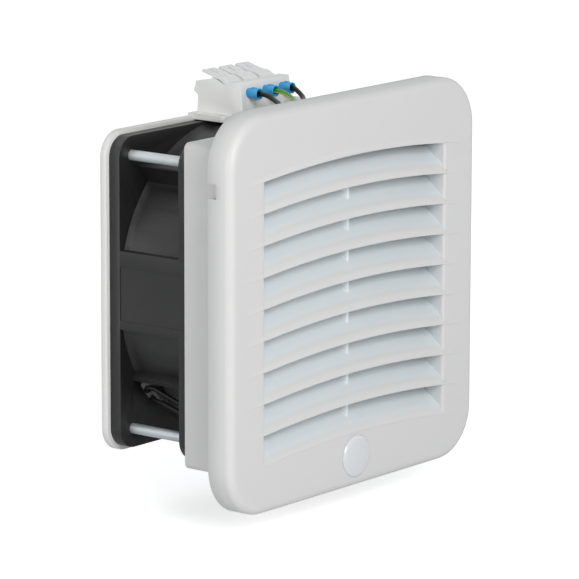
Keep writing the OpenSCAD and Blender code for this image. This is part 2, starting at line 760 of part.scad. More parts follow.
module stator_coils() color(copper_tone)
    round_stems(stem_r0 + bobbin_t, stem_r1 - bobbin_t, bobbin_t, coil_t);

module shading_rings() color(copper_tone) for (i = [0:pole_count - 1])
    rotate([0, -i * 360 / pole_count - shoe_angle / 2 + shade_tip_angle, 0]) difference() {
        slab(core_y0 - shade_t, core_y0 + core_t + shade_t)
            shoe_sector(shade_r, shade_r + shade_w, shade_tip_angle + shade_leg_angle);
        slab(core_y0, core_y0 + core_t) rotate(shade_leg_angle)
            shoe_sector(shade_r - overrun, shade_r + shade_w + overrun, shade_tip_angle - shade_leg_angle);
    }

// One corner point of a blade, at a share of its height and a place round its section
function blade_point(u, k) =
    let (
        half = blade_cols,
        c = k <= half ? k / half - 0.5 : 1.5 - k / half,
        side = k == 0 || k == half ? 0 : (k < half ? 1 : -1),
        r = blade_root_r + u * (blade_tip_r - blade_root_r),
        chord = root_chord + u * (tip_chord - root_chord),
        stagger = root_stagger + u * (tip_stagger - root_stagger),
        bow = blade_camber * (1 - 4 * c * c) + side * blade_t / 2 * sqrt(1 - 3.4 * c * c),
        across = c * chord * cos(stagger) - bow * sin(stagger),
        deep = c * chord * sin(stagger) + bow * cos(stagger),
        turn = across / r * 180 / PI
    )
    [r * cos(turn), blade_y + deep, r * sin(turn)];

module blade() {
    n = 2 * blade_cols;
    points = [for (i = [0:blade_rows], k = [0:n - 1]) blade_point(i / blade_rows, k)];
    skin = [
        for (i = [0:blade_rows - 1], k = [0:n - 1])
            let (a = i * n + k, b = i * n + (k + 1) % n)
            each [[a, b + n, b], [a, a + n, b + n]]
    ];
    last = blade_rows * n;
    caps = [
        for (k = [0:blade_cols - 1])
            let (a = k, b = k + 1, c = n - 1 - k, d = (n - k) % n)
            each concat(
                b == c ? [] : [[a, b, c], [last + a, last + c, last + b]],
                a == d ? [] : [[a, c, d], [last + a, last + d, last + c]]
            )
    ];
    polyhedron(points, concat(skin, caps));
}

module impeller() color([0.13, 0.13, 0.14]) {
    difference() {
        turned() difference() {
            union() {
                translate([0, hub_y0 + hub_edge_r]) square([hub_r, hub_y1 - hub_y0 - hub_edge_r]);
                translate([0, hub_y0]) square([hub_r - hub_edge_r, hub_edge_r + overrun]);
                translate([hub_r - hub_edge_r, hub_y0 + hub_edge_r]) circle(hub_edge_r);
            }
            translate([-overrun, hub_y0 + hub_cap_t])
                square([hub_r - hub_wall + overrun, hub_y1 - hub_y0]);
        }
    }
    for (i = [0:blade_count - 1]) rotate([0, i * 360 / blade_count, 0]) blade();
}

module rotor_can() color(steel_tone) turned() {
    translate([shaft_r, can_y0]) square([can_r - shaft_r, can_t]);
    translate([can_in_r, can_y0]) square([can_t, hub_y1 - can_y0 - can_short]);
    translate([shaft_r, can_y0]) square([can_boss_r - shaft_r, front_race_y - can_y0 - can_play]);
}

module rotor_ring() color([0.5, 0.5, 0.52]) turned()
    translate([can_in_r - cage_t, core_y0 - ring_over]) square([cage_t, core_t + 2 * ring_over]);

module rotor_shaft() color(steel_tone) difference() {
    rod(shaft_r, can_y0, rear_race_y + race_w + shaft_end);
    turned() translate([shaft_r * clip_in_share, rear_race_y + race_w + clip_play]) square([shaft_r, clip_t]);
}

module shaft_circlip() color([0.35, 0.35, 0.37]) difference() {
    turned() translate([shaft_r * clip_in_share, rear_race_y + race_w + clip_play])
        square([shaft_r * (clip_out_share - clip_in_share), clip_t]);
    block([0, rear_race_y + race_w, -shaft_r * clip_in_share / 2],
        [2 * shaft_r, rear_race_y + race_w + clip_t + overrun, shaft_r * clip_in_share / 2]);
}

// Plan of the shelf that carries the terminal block, with two round corners and a slot at the left
module shelf_plan() {
    x0 = block_x0 - shelf_margin;
    x1 = block_x0 + block_w + shelf_margin;
    y0 = rear_y1 - shelf_front;
    difference() {
        union() {
            translate([x0, y0 + shelf_corner_r]) square([x1 - x0, shelf_front - shelf_corner_r]);
            translate([x0 + shelf_corner_r, y0]) square([x1 - x0 - 2 * shelf_corner_r, shelf_front]);
            for (x = [x0 + shelf_corner_r, x1 - shelf_corner_r])
                translate([x, y0 + shelf_corner_r]) circle(shelf_corner_r);
        }
        translate([x0 + shelf_slot_at, y0 + shelf_slot_gap]) square([shelf_slot_w, shelf_slot_l]);
    }
}

module rear_frame() color(pale_grey) difference() {
    union() {
        slab(fan_y1, rear_y1) rounded(rear_half, rear_half, rear_corner_r);
        translate([0, 0, shelf_z0]) linear_extrude(shelf_t) shelf_plan();
    }
    rod(bore_r, fan_y1 - overrun, rear_y1 + overrun);
    rod(bore_r + outlet_rebate, fan_y1 - overrun, fan_y1 + outlet_t + outlet_play);
    at_screws() rod(screw_r + screw_play, fan_y1 - overrun, rear_y1 + overrun);
}

module outlet_guard() color([0.35, 0.36, 0.37]) slab(fan_y1 + outlet_play / 2, fan_y1 + outlet_play / 2 + outlet_t) {
    difference() {
        circle(bore_r + outlet_rebate - outlet_play);
        circle(bore_r - outlet_ring_w);
    }
    for (r = [outlet_ring_gap:outlet_ring_gap:bore_r - outlet_ring_gap / 2]) difference() {
        circle(r + outlet_ring_w / 2);
        circle(r - outlet_ring_w / 2);
    }
    for (i = [0:outlet_spokes - 1]) rotate(i * 360 / outlet_spokes + 180 / outlet_spokes)
        translate([outlet_ring_gap, -outlet_ring_w / 2]) square([bore_r - outlet_ring_gap, outlet_ring_w]);
    circle(outlet_ring_gap);
}

module fan_screws() color(steel_tone) at_screws() difference() {
    union() {
        rod(screw_r, boss_y - screw_over, rear_y1 + washer_h);
        rod(pan_head_r, rear_y1 + washer_h, rear_y1 + washer_h + pan_head_h);
    }
    for (a = [0, 90]) rotate([0, a, 0])
        block([-pan_head_r / 2, rear_y1 + washer_h + pan_head_h - drive_d, -drive_w / 2],
            [pan_head_r / 2, rear_y1 + washer_h + pan_head_h + overrun, drive_w / 2]);
}

module screw_washers() color(steel_tone) at_screws() difference() {
    rod(washer_r, rear_y1, rear_y1 + washer_h);
    rod(screw_r + screw_play, rear_y1 - overrun, rear_y1 + washer_h + overrun);
}

module fan_nuts() color(steel_tone) for (sx = [-1, 1], sz = [-1, 1]) {
    back = rear_wall_y - (sx + sz == 2 ? earth_t : 0);
    translate([sx * screw_xz, 0, sz * screw_xz]) difference() {
        rod(nut_across / sqrt(3), back - nut_t, back, $fn = 6);
        rod(screw_r, back - nut_t - overrun, back + overrun);
    }
}

module earth_tab() color([0.8, 0.78, 0.6]) difference() {
    union() {
        rod(nut_across / 2, rear_wall_y - earth_t, rear_wall_y, screw_xz, screw_xz);
        block([screw_xz - boss_r - crimp_l, rear_wall_y - earth_t, screw_xz - nut_across / 5],
            [screw_xz - nut_across / 3, rear_wall_y, screw_xz + nut_across / 5]);
        axle(crimp_r, screw_xz - boss_r - 2 * crimp_l, screw_xz - boss_r - crimp_l / 2,
            rear_wall_y - crimp_r - wire_play, screw_xz);
    }
    axle(wire_r + wire_play, screw_xz - boss_r - 2 * crimp_l - overrun, screw_xz - boss_r + overrun,
        rear_wall_y - crimp_r - wire_play, screw_xz);
    rod(screw_r + screw_play, rear_wall_y - earth_t - overrun, rear_wall_y + overrun, screw_xz, screw_xz);
}

// Point of a side outline given as shares of the block's length and height
function block_point(s) = [block_rear_y - s[0] * block_l, block_z0 + s[1] * block_h];

// Extrudes a side outline across the part from x0 to x1
module side_profile(x0, x1, shares) translate([x0, 0, 0]) rotate([90, 0, 90])
    linear_extrude(x1 - x0) polygon([for (s = shares) block_point(s)]);

// Middle of pole i
function pole_x(i) = block_x0 + (i + 0.5) * pole_pitch;

channel_half = channel_w_share * pole_pitch / 2;
pocket_half = pocket_w_share * pole_pitch / 2;
pocket_y0 = block_rear_y - pocket_y0_share * block_l;
pocket_y1 = block_rear_y - pocket_y1_share * block_l;
pocket_z = block_z0 + pocket_z_share * block_h;
entry_z = block_z0 + entry_z_share * block_h;

module terminal_block() color([0.93, 0.93, 0.93]) difference() {
    side_profile(block_x0, block_x0 + block_w, block_out_shares);
    for (i = [0:poles - 1]) {
        side_profile(pole_x(i) - channel_half, pole_x(i) + channel_half, channel_shares);
        block([pole_x(i) - pocket_half, pocket_y0, pocket_z],
            [pole_x(i) + pocket_half, pocket_y1, block_z0 + block_top_share * block_h]);
        rod(sleeve_r + wire_play, front_y - overrun, front_y + sleeve_in, pole_x(i), ferrule_z);
        block([pole_x(i) - entry_w / 2, block_rear_y - entry_l, entry_z],
            [pole_x(i) + entry_w / 2, block_rear_y + block_overhang, entry_z + entry_w]);
    }
    axle(pivot_r + pivot_play, block_x0 + (1 - channel_w_share) * pole_pitch / 4,
        block_x0 + block_w - (1 - channel_w_share) * pole_pitch / 4, pivot_y, pivot_z);
}

module contact_bars() color(copper_tone) for (i = [0:poles - 1])
    block([pole_x(i) - pocket_half + bar_play, pocket_y0 + bar_play, pocket_z],
        [pole_x(i) + pocket_half - bar_play, pocket_y1 - bar_play, pocket_z + bar_t]);

module clamp_springs() color(steel_tone) for (i = [0:poles - 1])
    translate([pole_x(i) - pocket_half + spring_margin, pocket_y1 - spring_margin - spring_l, pocket_z + bar_t])
        rotate([90, 0, 90]) linear_extrude(2 * pocket_half - 2 * spring_margin) polygon([
            [0, 0], [spring_l, 0], [spring_l, spring_t], [spring_l - spring_reach + 2 * spring_t, spring_h],
            [spring_l - spring_reach, spring_h], [spring_l - 2 * spring_t, spring_t], [0, spring_t]
        ]);

module terminal_lever(i) color([0.90, 0.91, 0.92]) {
    half = channel_half - lever_side_play;
    side_profile(pole_x(i) - half, pole_x(i) + half, lever_shares);
    axle(lever_knuckle_r, pole_x(i) - half, pole_x(i) + half, pivot_y, pivot_z);
    axle(pivot_r, pole_x(i) - channel_half - stub_l, pole_x(i) + channel_half + stub_l, pivot_y, pivot_z);
}

module terminal_lever_1() terminal_lever(0);
module terminal_lever_2() terminal_lever(1);
module terminal_lever_3() terminal_lever(2);

module ferrules() color([0.10, 0.50, 0.78]) for (i = [0:poles - 1])
    translate([pole_x(i), 0, ferrule_z]) difference() {
        union() {
            turned() polygon([
                [0, front_y], [collar_r, front_y], [collar_r, front_y - collar_l / 2],
                [collar_mouth_r, front_y - collar_l], [0, front_y - collar_l]
            ]);
            rod(collar_nub, front_y - collar_l, front_y - collar_l / 2, 0, collar_mouth_r - collar_nub / 2);
        }
        rod(sleeve_r, front_y - collar_l - overrun, front_y + overrun);
        rod(wire_r + wire_play, front_y - collar_l - overrun, front_y - collar_l / 2);
    }

module ferrule_sleeves() color(steel_tone) for (i = [0:poles - 1])
    rod(sleeve_r, front_y - collar_l / 2, front_y + sleeve_in - wire_play, pole_x(i), ferrule_z);

module fan_lead_1() color([0.12, 0.12, 0.13]) wire(lead_route_1);
module fan_lead_2() color([0.12, 0.12, 0.13]) wire(lead_route_2);
module earth_wire() color([0.55, 0.70, 0.15]) wire(earth_route);

front_cover();
cover_badge();
hinge_pins();
gasket();
base_frame();
filter_mat();
inlet_guard();
fan_frame();
lead_grommet();
bearing_tube();
bearing_outer_rings();
preload_washer();
stator_core();
stator_bobbins();
stator_coils();
shading_rings();
impeller();
rotor_can();
rotor_ring();
rotor_shaft();
bearing_inner_rings();
shaft_circlip();
rear_frame();
outlet_guard();
fan_screws();
screw_washers();
fan_nuts();
terminal_block();
contact_bars();
clamp_springs();
terminal_lever_1();
terminal_lever_2();
terminal_lever_3();
ferrules();
ferrule_sleeves();
fan_lead_1();
fan_lead_2();
earth_wire();
earth_tab();
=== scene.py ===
import math

import bmesh
import bpy
import numpy as np
from bpy.props import FloatProperty, FloatVectorProperty, IntProperty, PointerProperty
from mathutils import Matrix, Vector


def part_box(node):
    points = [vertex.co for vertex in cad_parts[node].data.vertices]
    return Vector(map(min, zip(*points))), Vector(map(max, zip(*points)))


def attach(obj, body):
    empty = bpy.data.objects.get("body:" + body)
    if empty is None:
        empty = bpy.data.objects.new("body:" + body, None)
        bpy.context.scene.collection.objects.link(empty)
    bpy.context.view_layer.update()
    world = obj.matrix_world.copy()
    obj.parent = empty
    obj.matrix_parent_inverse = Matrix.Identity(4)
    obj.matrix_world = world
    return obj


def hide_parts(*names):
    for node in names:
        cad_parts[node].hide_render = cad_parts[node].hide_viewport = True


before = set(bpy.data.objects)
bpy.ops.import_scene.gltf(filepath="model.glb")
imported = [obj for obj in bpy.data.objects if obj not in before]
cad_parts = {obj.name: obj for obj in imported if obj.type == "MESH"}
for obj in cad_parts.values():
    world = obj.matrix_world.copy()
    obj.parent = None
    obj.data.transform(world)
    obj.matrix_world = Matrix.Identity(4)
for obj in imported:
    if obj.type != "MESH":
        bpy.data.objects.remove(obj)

bl_info = {
    "name": "Enclosure filter fan",
    "version": (1, 0, 0),
    "blender": (4, 5, 0),
    "location": "3D View > Sidebar > Filter fan",
    "description": "Finishes the cover, filter mat, fan and terminals of an enclosure filter fan",
    "category": "Object",
}

MM = 0.001

# The lowest corner of the CAD's cover, and the middle of its two hinge pins
COVER_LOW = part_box("front_cover")[0]
PIN_AXIS = sum(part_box("hinge_pins"), Vector()) / 2

# How far the lips stand before the cover's flat front, and a wire's radius in millimetres
LIP_STANDS = 0.0009
WIRE_RADIUS = 0.94

# How a copy of a CAD node is cleaned and which of its edges are rounded
MERGE_WITHIN = 2e-6
FLAT_WITHIN = math.radians(0.6)
SHARP_FROM = math.radians(32.0)

# Routes of the wires from the terminal block to the fan, in millimetres
LEAD_ROUTE_1 = (
    (-0.1, 36, 71), (-0.1, 33, 71), (-0.6, 30, 70.6), (-2, 26, 69.6), (-5, 21.5, 69), (-8.2, 18.3, 68.2),
    (-9.5, 16.6, 66.5), (-9.8, 15.8, 64.5), (-9.8, 15.6, 61), (-12, 15.5, 58.4), (-17, 15.4, 57.4),
    (-32, 15.4, 57.4), (-36, 15.4, 55.8), (-55.8, 15.4, 36), (-57.4, 15.4, 32), (-57.4, 15.4, 0),
    (-57.4, 15.4, -33), (-56.4, 15.6, -38), (-53, 16.4, -41.6), (-50.8, 19, -42.4),
    (-50.2, 24, -42.4), (-50.2, 32, -40.6), (-50.4, 40, -38), (-50.8, 45, -36.2), (-51, 48, -36.2),
    (-50.4, 49.4, -37.4), (-49.2, 49.5, -37.8), (-47.6, 49.5, -36.5),
)
LEAD_ROUTE_2 = (
    (19.9, 36, 71), (19.9, 34, 70.9), (19.2, 31.4, 69.9), (16.6, 27, 68.4), (10.5, 22.5, 67.9),
    (4.4, 18.6, 67.4), (1.5, 17, 66.2), (0.6, 17.2, 64.5), (0.4, 17.6, 61), (-2, 17.6, 58.4),
    (-7, 17.6, 57.4), (-32.4, 17.6, 57.4), (-36.4, 17.6, 55.8), (-55.8, 17.6, 36.4), (-57.4, 17.6, 32.4),
    (-57.4, 17.6, 0), (-57.4, 17.6, -36), (-56.4, 17.4, -40.6), (-53.6, 17.4, -43.8), (-51, 19, -45.2),
    (-50.3, 21.4, -45.4), (-50.2, 25.4, -45.2), (-50.2, 32, -43.9), (-50.4, 38, -42.2), (-50.2, 43.6, -41),
    (-49.4, 47.6, -40.8), (-47.8, 49.4, -41.8), (-46.4, 49.5, -41.2), (-44.8, 49.5, -39.9),
)
EARTH_ROUTE = (
    (9.9, 36, 71), (9.9, 33, 71), (9.5, 30, 70.6), (8, 26, 69.6), (4.5, 21.5, 69), (-0.6, 18.6, 68.4),
    (-3.4, 16.6, 66.6), (-3.8, 16.2, 64.5), (-3.6, 16, 61), (-1, 15.6, 58), (4, 15.2, 56.6), (28, 15.4, 56),
    (34, 16.4, 54.4), (38, 17.3, 52.7), (41, 17.4, 52.4), (45, 17.4, 52.4),
)


def length(name, description, default):
    """A length in metres, shown in the scene's units."""
    return FloatProperty(
        name=name, description=description, default=default, min=0.0, subtype="DISTANCE", unit="LENGTH")


def colour(name, description, default):
    """A linear colour without alpha."""
    return FloatVectorProperty(
        name=name, description=description, default=default, size=3, min=0.0, max=1.0, subtype="COLOR")


def power(name, description, default):
    """The power of a lamp in watts."""
    return FloatProperty(name=name, description=description, default=default, min=0.0, unit="POWER")


class CoverSizes(bpy.types.PropertyGroup):
    """Sizes of the louvred front cover"""

    depth: length("Depth", "From the door's face to the flat front", -COVER_LOW.y - LIP_STANDS)
    rim: length("Rim gap", "From the door's face to the rear rim", 0.001)
    wall: length("Wall", "Thickness of the wall", 0.0024)
    corner: length("Corner radius", "Radius of the corners seen from the front", 0.0195)
    edge: length("Edge radius", "Radius of the edge round the front", 0.0032)
    window_half: length("Window half width", "Half of the width of the louvred window", 0.055)
    window_edge: length("Window edge radius", "Radius along the sides of the window", 0.0011)
    pitch: length("Louvre pitch", "Distance between two louvre lines", 0.01188)
    top_line: length("Top line", "Height of the topmost louvre line above the middle", 0.053)
    bow: length("Bow radius", "Radius of the curved louvre lines", 0.5)
    proud: length("Lip height", "How far a lip stands out at its middle", LIP_STANDS)
    lip_half: length("Lip half length", "Half of the length of a lip from point to point", 0.067)
    face: length("Slat thickness", "Height of a slat's front face", 0.0025)
    openings: IntProperty(name="Openings", description="Number of louvre openings", default=9, min=5, max=9)


class FinishColours(bpy.types.PropertyGroup):
    """Colours of the finishes, as linear values"""

    cover: colour("Cover", "Pale grey plastic of the cover", (0.66, 0.66, 0.655))
    # painted light: a lighter, cooler copy of the cover plastic that stands in for the light on the slats in
    # the recess
    slat: colour("Slats", "Cooler tone of the slats behind the front", (0.74, 0.79, 0.82))
    frame_part: colour("Frames", "Pale grey plastic of the base frame", (0.66, 0.66, 0.65))
    fan: colour("Fan", "Black paint of the fan's frame", (0.0105, 0.0105, 0.011))
    blade: colour("Impeller", "Black plastic of the impeller", (0.009, 0.009, 0.0095))
    # painted light: lighter than the base frame's plastic, standing in for the extra light that falls on the
    # rear frame
    rear: colour("Rear frame", "Pale plastic of the rear frame", (0.73, 0.73, 0.72))
    block: colour("Terminal block", "White plastic of the terminal block", (0.81, 0.815, 0.80))
    collar: colour("Ferrules", "Blue plastic of the ferrule collars", (0.018, 0.33, 0.66))
    lead: colour("Leads", "Black sheath of the fan's leads", (0.0035, 0.0035, 0.004))
    earth_green: colour("Earth green", "Green of the earth wire", (0.02, 0.24, 0.03))
    earth_yellow: colour("Earth yellow", "Yellow of the earth wire", (0.55, 0.66, 0.07))
    mat: colour("Filter mat", "White fibres of the filter mat", (0.80, 0.80, 0.76))
    brass: colour("Brass", "Sintered brass of the bearing tube", (0.60, 0.45, 0.20))
    copper: colour("Copper", "Copper of the windings and bars", (0.62, 0.27, 0.12))
    steel: colour("Steel", "Zinc-plated steel", (0.50, 0.54, 0.56))


class StageSizes(bpy.types.PropertyGroup):
    """Strengths of the studio's light"""

    sky: FloatProperty(
        name="Sky", description="Strength of the soft light from all round", default=0.36, min=0.0)
    front: power("Front light", "Power of the light before the cover", 17.6)
    left: power("Left light", "Power of the light at the left", 5.4)
    top: power("Top light", "Power of the light overhead", 2.4)


# Meshes


def mesh_piece(name, co, quads, uv=None, smooth=True):
    """Makes an object from points in millimetres and quads, where a triangle repeats its last point."""
    co = np.asarray(co, float).reshape(-1, 3) * MM
    quads = np.asarray(quads, int).reshape(-1, 4)
    tri = quads[:, 2] == quads[:, 3]
    sizes = np.where(tri, 3, 4)
    starts = np.concatenate([[0], np.cumsum(sizes)[:-1]])
    keep = np.ones(quads.shape, bool)
    keep[tri, 3] = False
    loops = quads[keep]
    mesh = bpy.data.meshes.new(name)
    mesh.vertices.add(len(co))
    mesh.vertices.foreach_set("co", co.ravel())
    mesh.loops.add(len(loops))
    mesh.loops.foreach_set("vertex_index", loops.astype(np.int32))
    mesh.polygons.add(len(quads))
    mesh.polygons.foreach_set("loop_start", starts.astype(np.int32))
    mesh.polygons.foreach_set("use_smooth", np.full(len(quads), smooth))
    if uv is not None:
        layer = mesh.uv_layers.new(name="UVMap")
        layer.data.foreach_set("uv", np.asarray(uv, float)[loops].ravel())
    mesh.update(calc_edges=True)
    mesh.validate()
    piece = bpy.data.objects.new(name, mesh)
    bpy.context.scene.collection.objects.link(piece)
    return piece


def grid_quads(rows, cols, close_rows=False, close_cols=False, start=0, flip=False):
    """Quads of a grid of points stored row after row, the first of them numbered start.

    Either direction may be joined up into a ring, and flip turns the faces round.
    """
    i = np.arange(rows if close_rows else rows - 1)
    j = np.arange(cols if close_cols else cols - 1)
    i, j = np.meshgrid(i, j, indexing="ij")
    a, b = i * cols + j, i * cols + (j + 1) % cols
    c, d = ((i + 1) % rows) * cols + (j + 1) % cols, ((i + 1) % rows) * cols + j
    quads = np.stack([a, b, c, d], -1).reshape(-1, 4) + start
    return quads[:, ::-1] if flip else quads


def closed_loft(sections):
    """Closes a row of equal ring-shaped sections: rings joined in turn, and a fan over each end."""
    n, m = sections.shape[:2]
    points = sections.reshape(-1, 3)
    ends = np.stack([sections[0].mean(0), sections[-1].mean(0)])
    k = np.arange(m)
    after = (k + 1) % m
    first_hub, last_hub = np.full(m, n * m), np.full(m, n * m + 1)
    first = np.stack([after, k, first_hub, first_hub], -1)
    last = np.stack([k + (n - 1) * m, after + (n - 1) * m, last_hub, last_hub], -1)
    quads = np.concatenate([grid_quads(n, m, close_cols=True), first, last])
    return np.concatenate([points, ends]), quads


def joined(lofts):
    """Puts several (points, quads) pairs into one."""
    points, quads, start = [], [], 0
    for p, q in lofts:
        points.append(p)
        quads.append(q + start)
        start += len(p)
    return np.concatenate(points), np.concatenate(quads)


def outward(piece):
    """Turns the faces of each closed island so that they point away from its inside."""
    bm = bmesh.new()
    bm.from_mesh(piece.data)
    bmesh.ops.recalc_face_normals(bm, faces=bm.faces)
    bm.to_mesh(piece.data)
    bm.free()
    return piece


def rounded_copy(node, name, width, segments=2, edge_slot=-1, cut_at=None, change=None):
    """A copy of a CAD node with doubles merged, flat facets joined and sharp edges rounded, in millimetres.

    The rounded strips may take a material slot of their own. Before the edges are rounded, the faces may be
    cut across at a depth, and change may move the points, which it gets as an array in millimetres.
    """
    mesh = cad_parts[node].data.copy()
    mesh.name = name
    bm = bmesh.new()
    bm.from_mesh(mesh)
    bmesh.ops.remove_doubles(bm, verts=bm.verts, dist=MERGE_WITHIN)
    bmesh.ops.dissolve_degenerate(bm, edges=bm.edges, dist=MERGE_WITHIN)
    bmesh.ops.dissolve_limit(bm, angle_limit=FLAT_WITHIN, verts=bm.verts, edges=bm.edges)
    if cut_at is not None:
        everything = bm.verts[:] + bm.edges[:] + bm.faces[:]
        bmesh.ops.bisect_plane(bm, geom=everything, plane_co=(0, cut_at * MM, 0), plane_no=(0, 1, 0))
    for face in bm.faces:
        face.smooth = True
    bm.to_mesh(mesh)
    bm.free()
    if change:
        points = np.empty(len(mesh.vertices) * 3)
        mesh.vertices.foreach_get("co", points)
        mesh.vertices.foreach_set("co", (change(points.reshape(-1, 3) / MM) * MM).ravel())
        mesh.update()
    mesh.materials.clear()
    piece = bpy.data.objects.new(name, mesh)
    bpy.context.scene.collection.objects.link(piece)
    bevel = piece.modifiers.new("Rounded edges", "BEVEL")
    bevel.width = width * MM
    bevel.segments = segments
    bevel.limit_method = "ANGLE"
    bevel.angle_limit = SHARP_FROM
    bevel.harden_normals = True
    bevel.use_clamp_overlap = True
    bevel.miter_outer = "MITER_ARC"
    bevel.material = edge_slot
    return piece


def place(piece, body, material, *nodes, slot=None):
    """Gives a finished piece its body, its finish and the CAD nodes that it stands for."""
    piece.data.materials.clear()
    piece.data.materials.append(material)
    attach(piece, body)
    if nodes:
        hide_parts(*nodes)
    return piece


def dress(node, material):
    """Gives a CAD node a better finish and leaves its mesh alone."""
    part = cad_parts[node]
    part.data.materials.clear()
    part.data.materials.append(material)
    return part


# Finishes


def new_group(name, inputs, outputs):
    """An empty shader group with its sockets. Each input is (name, kind, default)."""
    group = bpy.data.node_groups.new(name, "ShaderNodeTree")
    for label, kind, default in inputs:
        socket = group.interface.new_socket(name=label, in_out="INPUT", socket_type="NodeSocket" + kind)
        socket.default_value = default
    for label, kind in outputs:
        group.interface.new_socket(name=label, in_out="OUTPUT", socket_type="NodeSocket" + kind)
    return group


class Nodes:
    """Places nodes in a tree one after another and links them."""

    def __init__(self, tree):
        self.tree = tree
        self.count = 0

    def add(self, kind, values=None, links=None, **settings):
        """A node with values and links for its inputs, by name or number, and settings of its own."""
        node = self.tree.nodes.new(kind)
        node.location = (220 * self.count, -60 * (self.count % 5))
        self.count += 1
        for key, value in settings.items():
            setattr(node, key, value)
        for key, value in (values or {}).items():
            node.inputs[key].default_value = value
        for key, source in (links or {}).items():
            self.tree.links.new(source, node.inputs[key])
        return node

    def math(self, operation, a, b=0.5, clamp=False):
        """A Math node's result from two numbers or sockets."""
        node = self.add("ShaderNodeMath", operation=operation, use_clamp=clamp)
        for socket, value in zip(node.inputs, (a, b)):
            if isinstance(value, (int, float)):
                socket.default_value = value
            else:
                self.tree.links.new(value, socket)
        return node.outputs[0]

    def swing(self, value, amount):
        """A value about one half as a swing about zero of a given amount."""
        return self.math("MULTIPLY", self.math("SUBTRACT", value, 0.5), amount)

    def mix(self, share, a, b):
        """A colour between a and b."""
        node = self.add("ShaderNodeMix", data_type="RGBA")
        for socket, value in ((node.inputs["Factor"], share), (node.inputs[6], a), (node.inputs[7], b)):
            if hasattr(value, "links"):
                self.tree.links.new(value, socket)
            else:
                socket.default_value = value
        return node.outputs[2]


def moulded_grain():
    """Fine grain of a moulded or painted surface, with slow changes of tone and of gloss."""
    if "Moulded grain" in bpy.data.node_groups:
        return bpy.data.node_groups["Moulded grain"]
    group = new_group("Moulded grain",
        [("Color", "Color", (0.8, 0.8, 0.8, 1)), ("Tone change", "Float", 0.04),
         ("Grain per metre", "Float", 1800.0), ("Roughness", "Float", 0.45), ("Gloss change", "Float", 0.08)],
        [("Color", "Color"), ("Roughness", "Float"), ("Height", "Float")])
    n = Nodes(group)
    given = n.add("NodeGroupInput").outputs
    place_at = n.add("ShaderNodeTexCoord").outputs["Object"]
    per_metre = {"Vector": place_at, "Scale": given["Grain per metre"]}
    fine = n.add("ShaderNodeTexNoise", {"Detail": 2.0}, per_metre).outputs[0]
    slow = n.add("ShaderNodeTexNoise", {"Scale": 28.0, "Detail": 3.0}, {"Vector": place_at}).outputs[0]
    blend = n.math("ADD", n.math("MULTIPLY", slow, 0.7), n.math("MULTIPLY", fine, 0.3))
    value = n.math("ADD", n.swing(blend, given["Tone change"]), 1.0)
    tinted = n.add("ShaderNodeHueSaturation", links={"Color": given["Color"], "Value": value}).outputs[0]
    rough = n.math("ADD", given["Roughness"], n.swing(slow, given["Gloss change"]), clamp=True)
    n.add("NodeGroupOutput", links={"Color": tinted, "Roughness": rough, "Height": fine})
    return group


def settled_dust():
    """A thin veil of dust on faces that look up, broken up by noise."""
    if "Settled dust" in bpy.data.node_groups:
        return bpy.data.node_groups["Settled dust"]
    group = new_group("Settled dust",
        [("Color", "Color", (0.8, 0.8, 0.8, 1)), ("Dust", "Color", (0.55, 0.54, 0.51, 1)),
         ("Amount", "Float", 0.1), ("Roughness", "Float", 0.45)],
        [("Color", "Color"), ("Roughness", "Float")])
    n = Nodes(group)
    given = n.add("NodeGroupInput").outputs
    where = n.add("ShaderNodeTexCoord").outputs
    up = n.add("ShaderNodeSeparateXYZ", links={0: where["Normal"]}).outputs[2]
    at = {"Vector": where["Object"]}
    patches = n.add("ShaderNodeTexNoise", {"Scale": 160.0, "Detail": 5.0}, at).outputs[0]
    caught = n.math("MULTIPLY", n.math("MAXIMUM", up, 0.0), patches)
    share = n.math("MULTIPLY", caught, given["Amount"], clamp=True)
    n.add("NodeGroupOutput", links={
        "Color": n.mix(share, given["Color"], given["Dust"]),
        "Roughness": n.math("ADD", given["Roughness"], n.math("MULTIPLY", share, 0.4), clamp=True)})
    return group


def drawn_metal():
    """Fine streaks of drawn or turned metal along one direction, with a slight change of tone."""
    if "Drawn metal" in bpy.data.node_groups:
        return bpy.data.node_groups["Drawn metal"]
    group = new_group("Drawn metal",
        [("Color", "Color", (0.6, 0.6, 0.6, 1)), ("Stretch", "Vector", (300.0, 3000.0, 3000.0)),
         ("Roughness", "Float", 0.3)],
        [("Color", "Color"), ("Roughness", "Float"), ("Height", "Float")])
    n = Nodes(group)
    given = n.add("NodeGroupInput").outputs
    place_at = n.add("ShaderNodeTexCoord").outputs["Object"]
    by_axis = {0: place_at, 1: given["Stretch"]}
    stretched = n.add("ShaderNodeVectorMath", operation="MULTIPLY", links=by_axis).outputs[0]
    streak = n.add("ShaderNodeTexNoise", {"Scale": 1.0, "Detail": 3.0}, {"Vector": stretched}).outputs[0]
    blotch = n.add("ShaderNodeTexNoise", {"Scale": 90.0, "Detail": 4.0}, {"Vector": place_at}).outputs[0]
    tone = n.math("ADD", n.swing(streak, 0.25), n.math("ADD", n.swing(blotch, 0.2), 1.0))
    n.add("NodeGroupOutput", links={
        "Color": n.add("ShaderNodeHueSaturation", links={"Color": given["Color"], "Value": tone}).outputs[0],
        "Roughness": n.math("ADD", given["Roughness"], n.swing(streak, 0.2), clamp=True),
        "Height": streak})
    return group


def new_material(name, **constants):
    """A material with its Principled shader, and a builder for further nodes."""
    material = bpy.data.materials.new(name)
    material.use_nodes = True
    shader = material.node_tree.nodes["Principled BSDF"]
    for key, value in constants.items():
        shader.inputs[key.replace("_", " ")].default_value = value
    return material, Nodes(material.node_tree), shader


def four(rgb):
    """A colour with an alpha of one."""
    return (rgb[0], rgb[1], rgb[2], 1.0)


def coloured(n, shader, share, a, b):
    """Feeds a colour between a and b to the shader's base colour."""
    n.tree.links.new(n.mix(share, four(a), four(b)), shader.inputs["Base Color"])


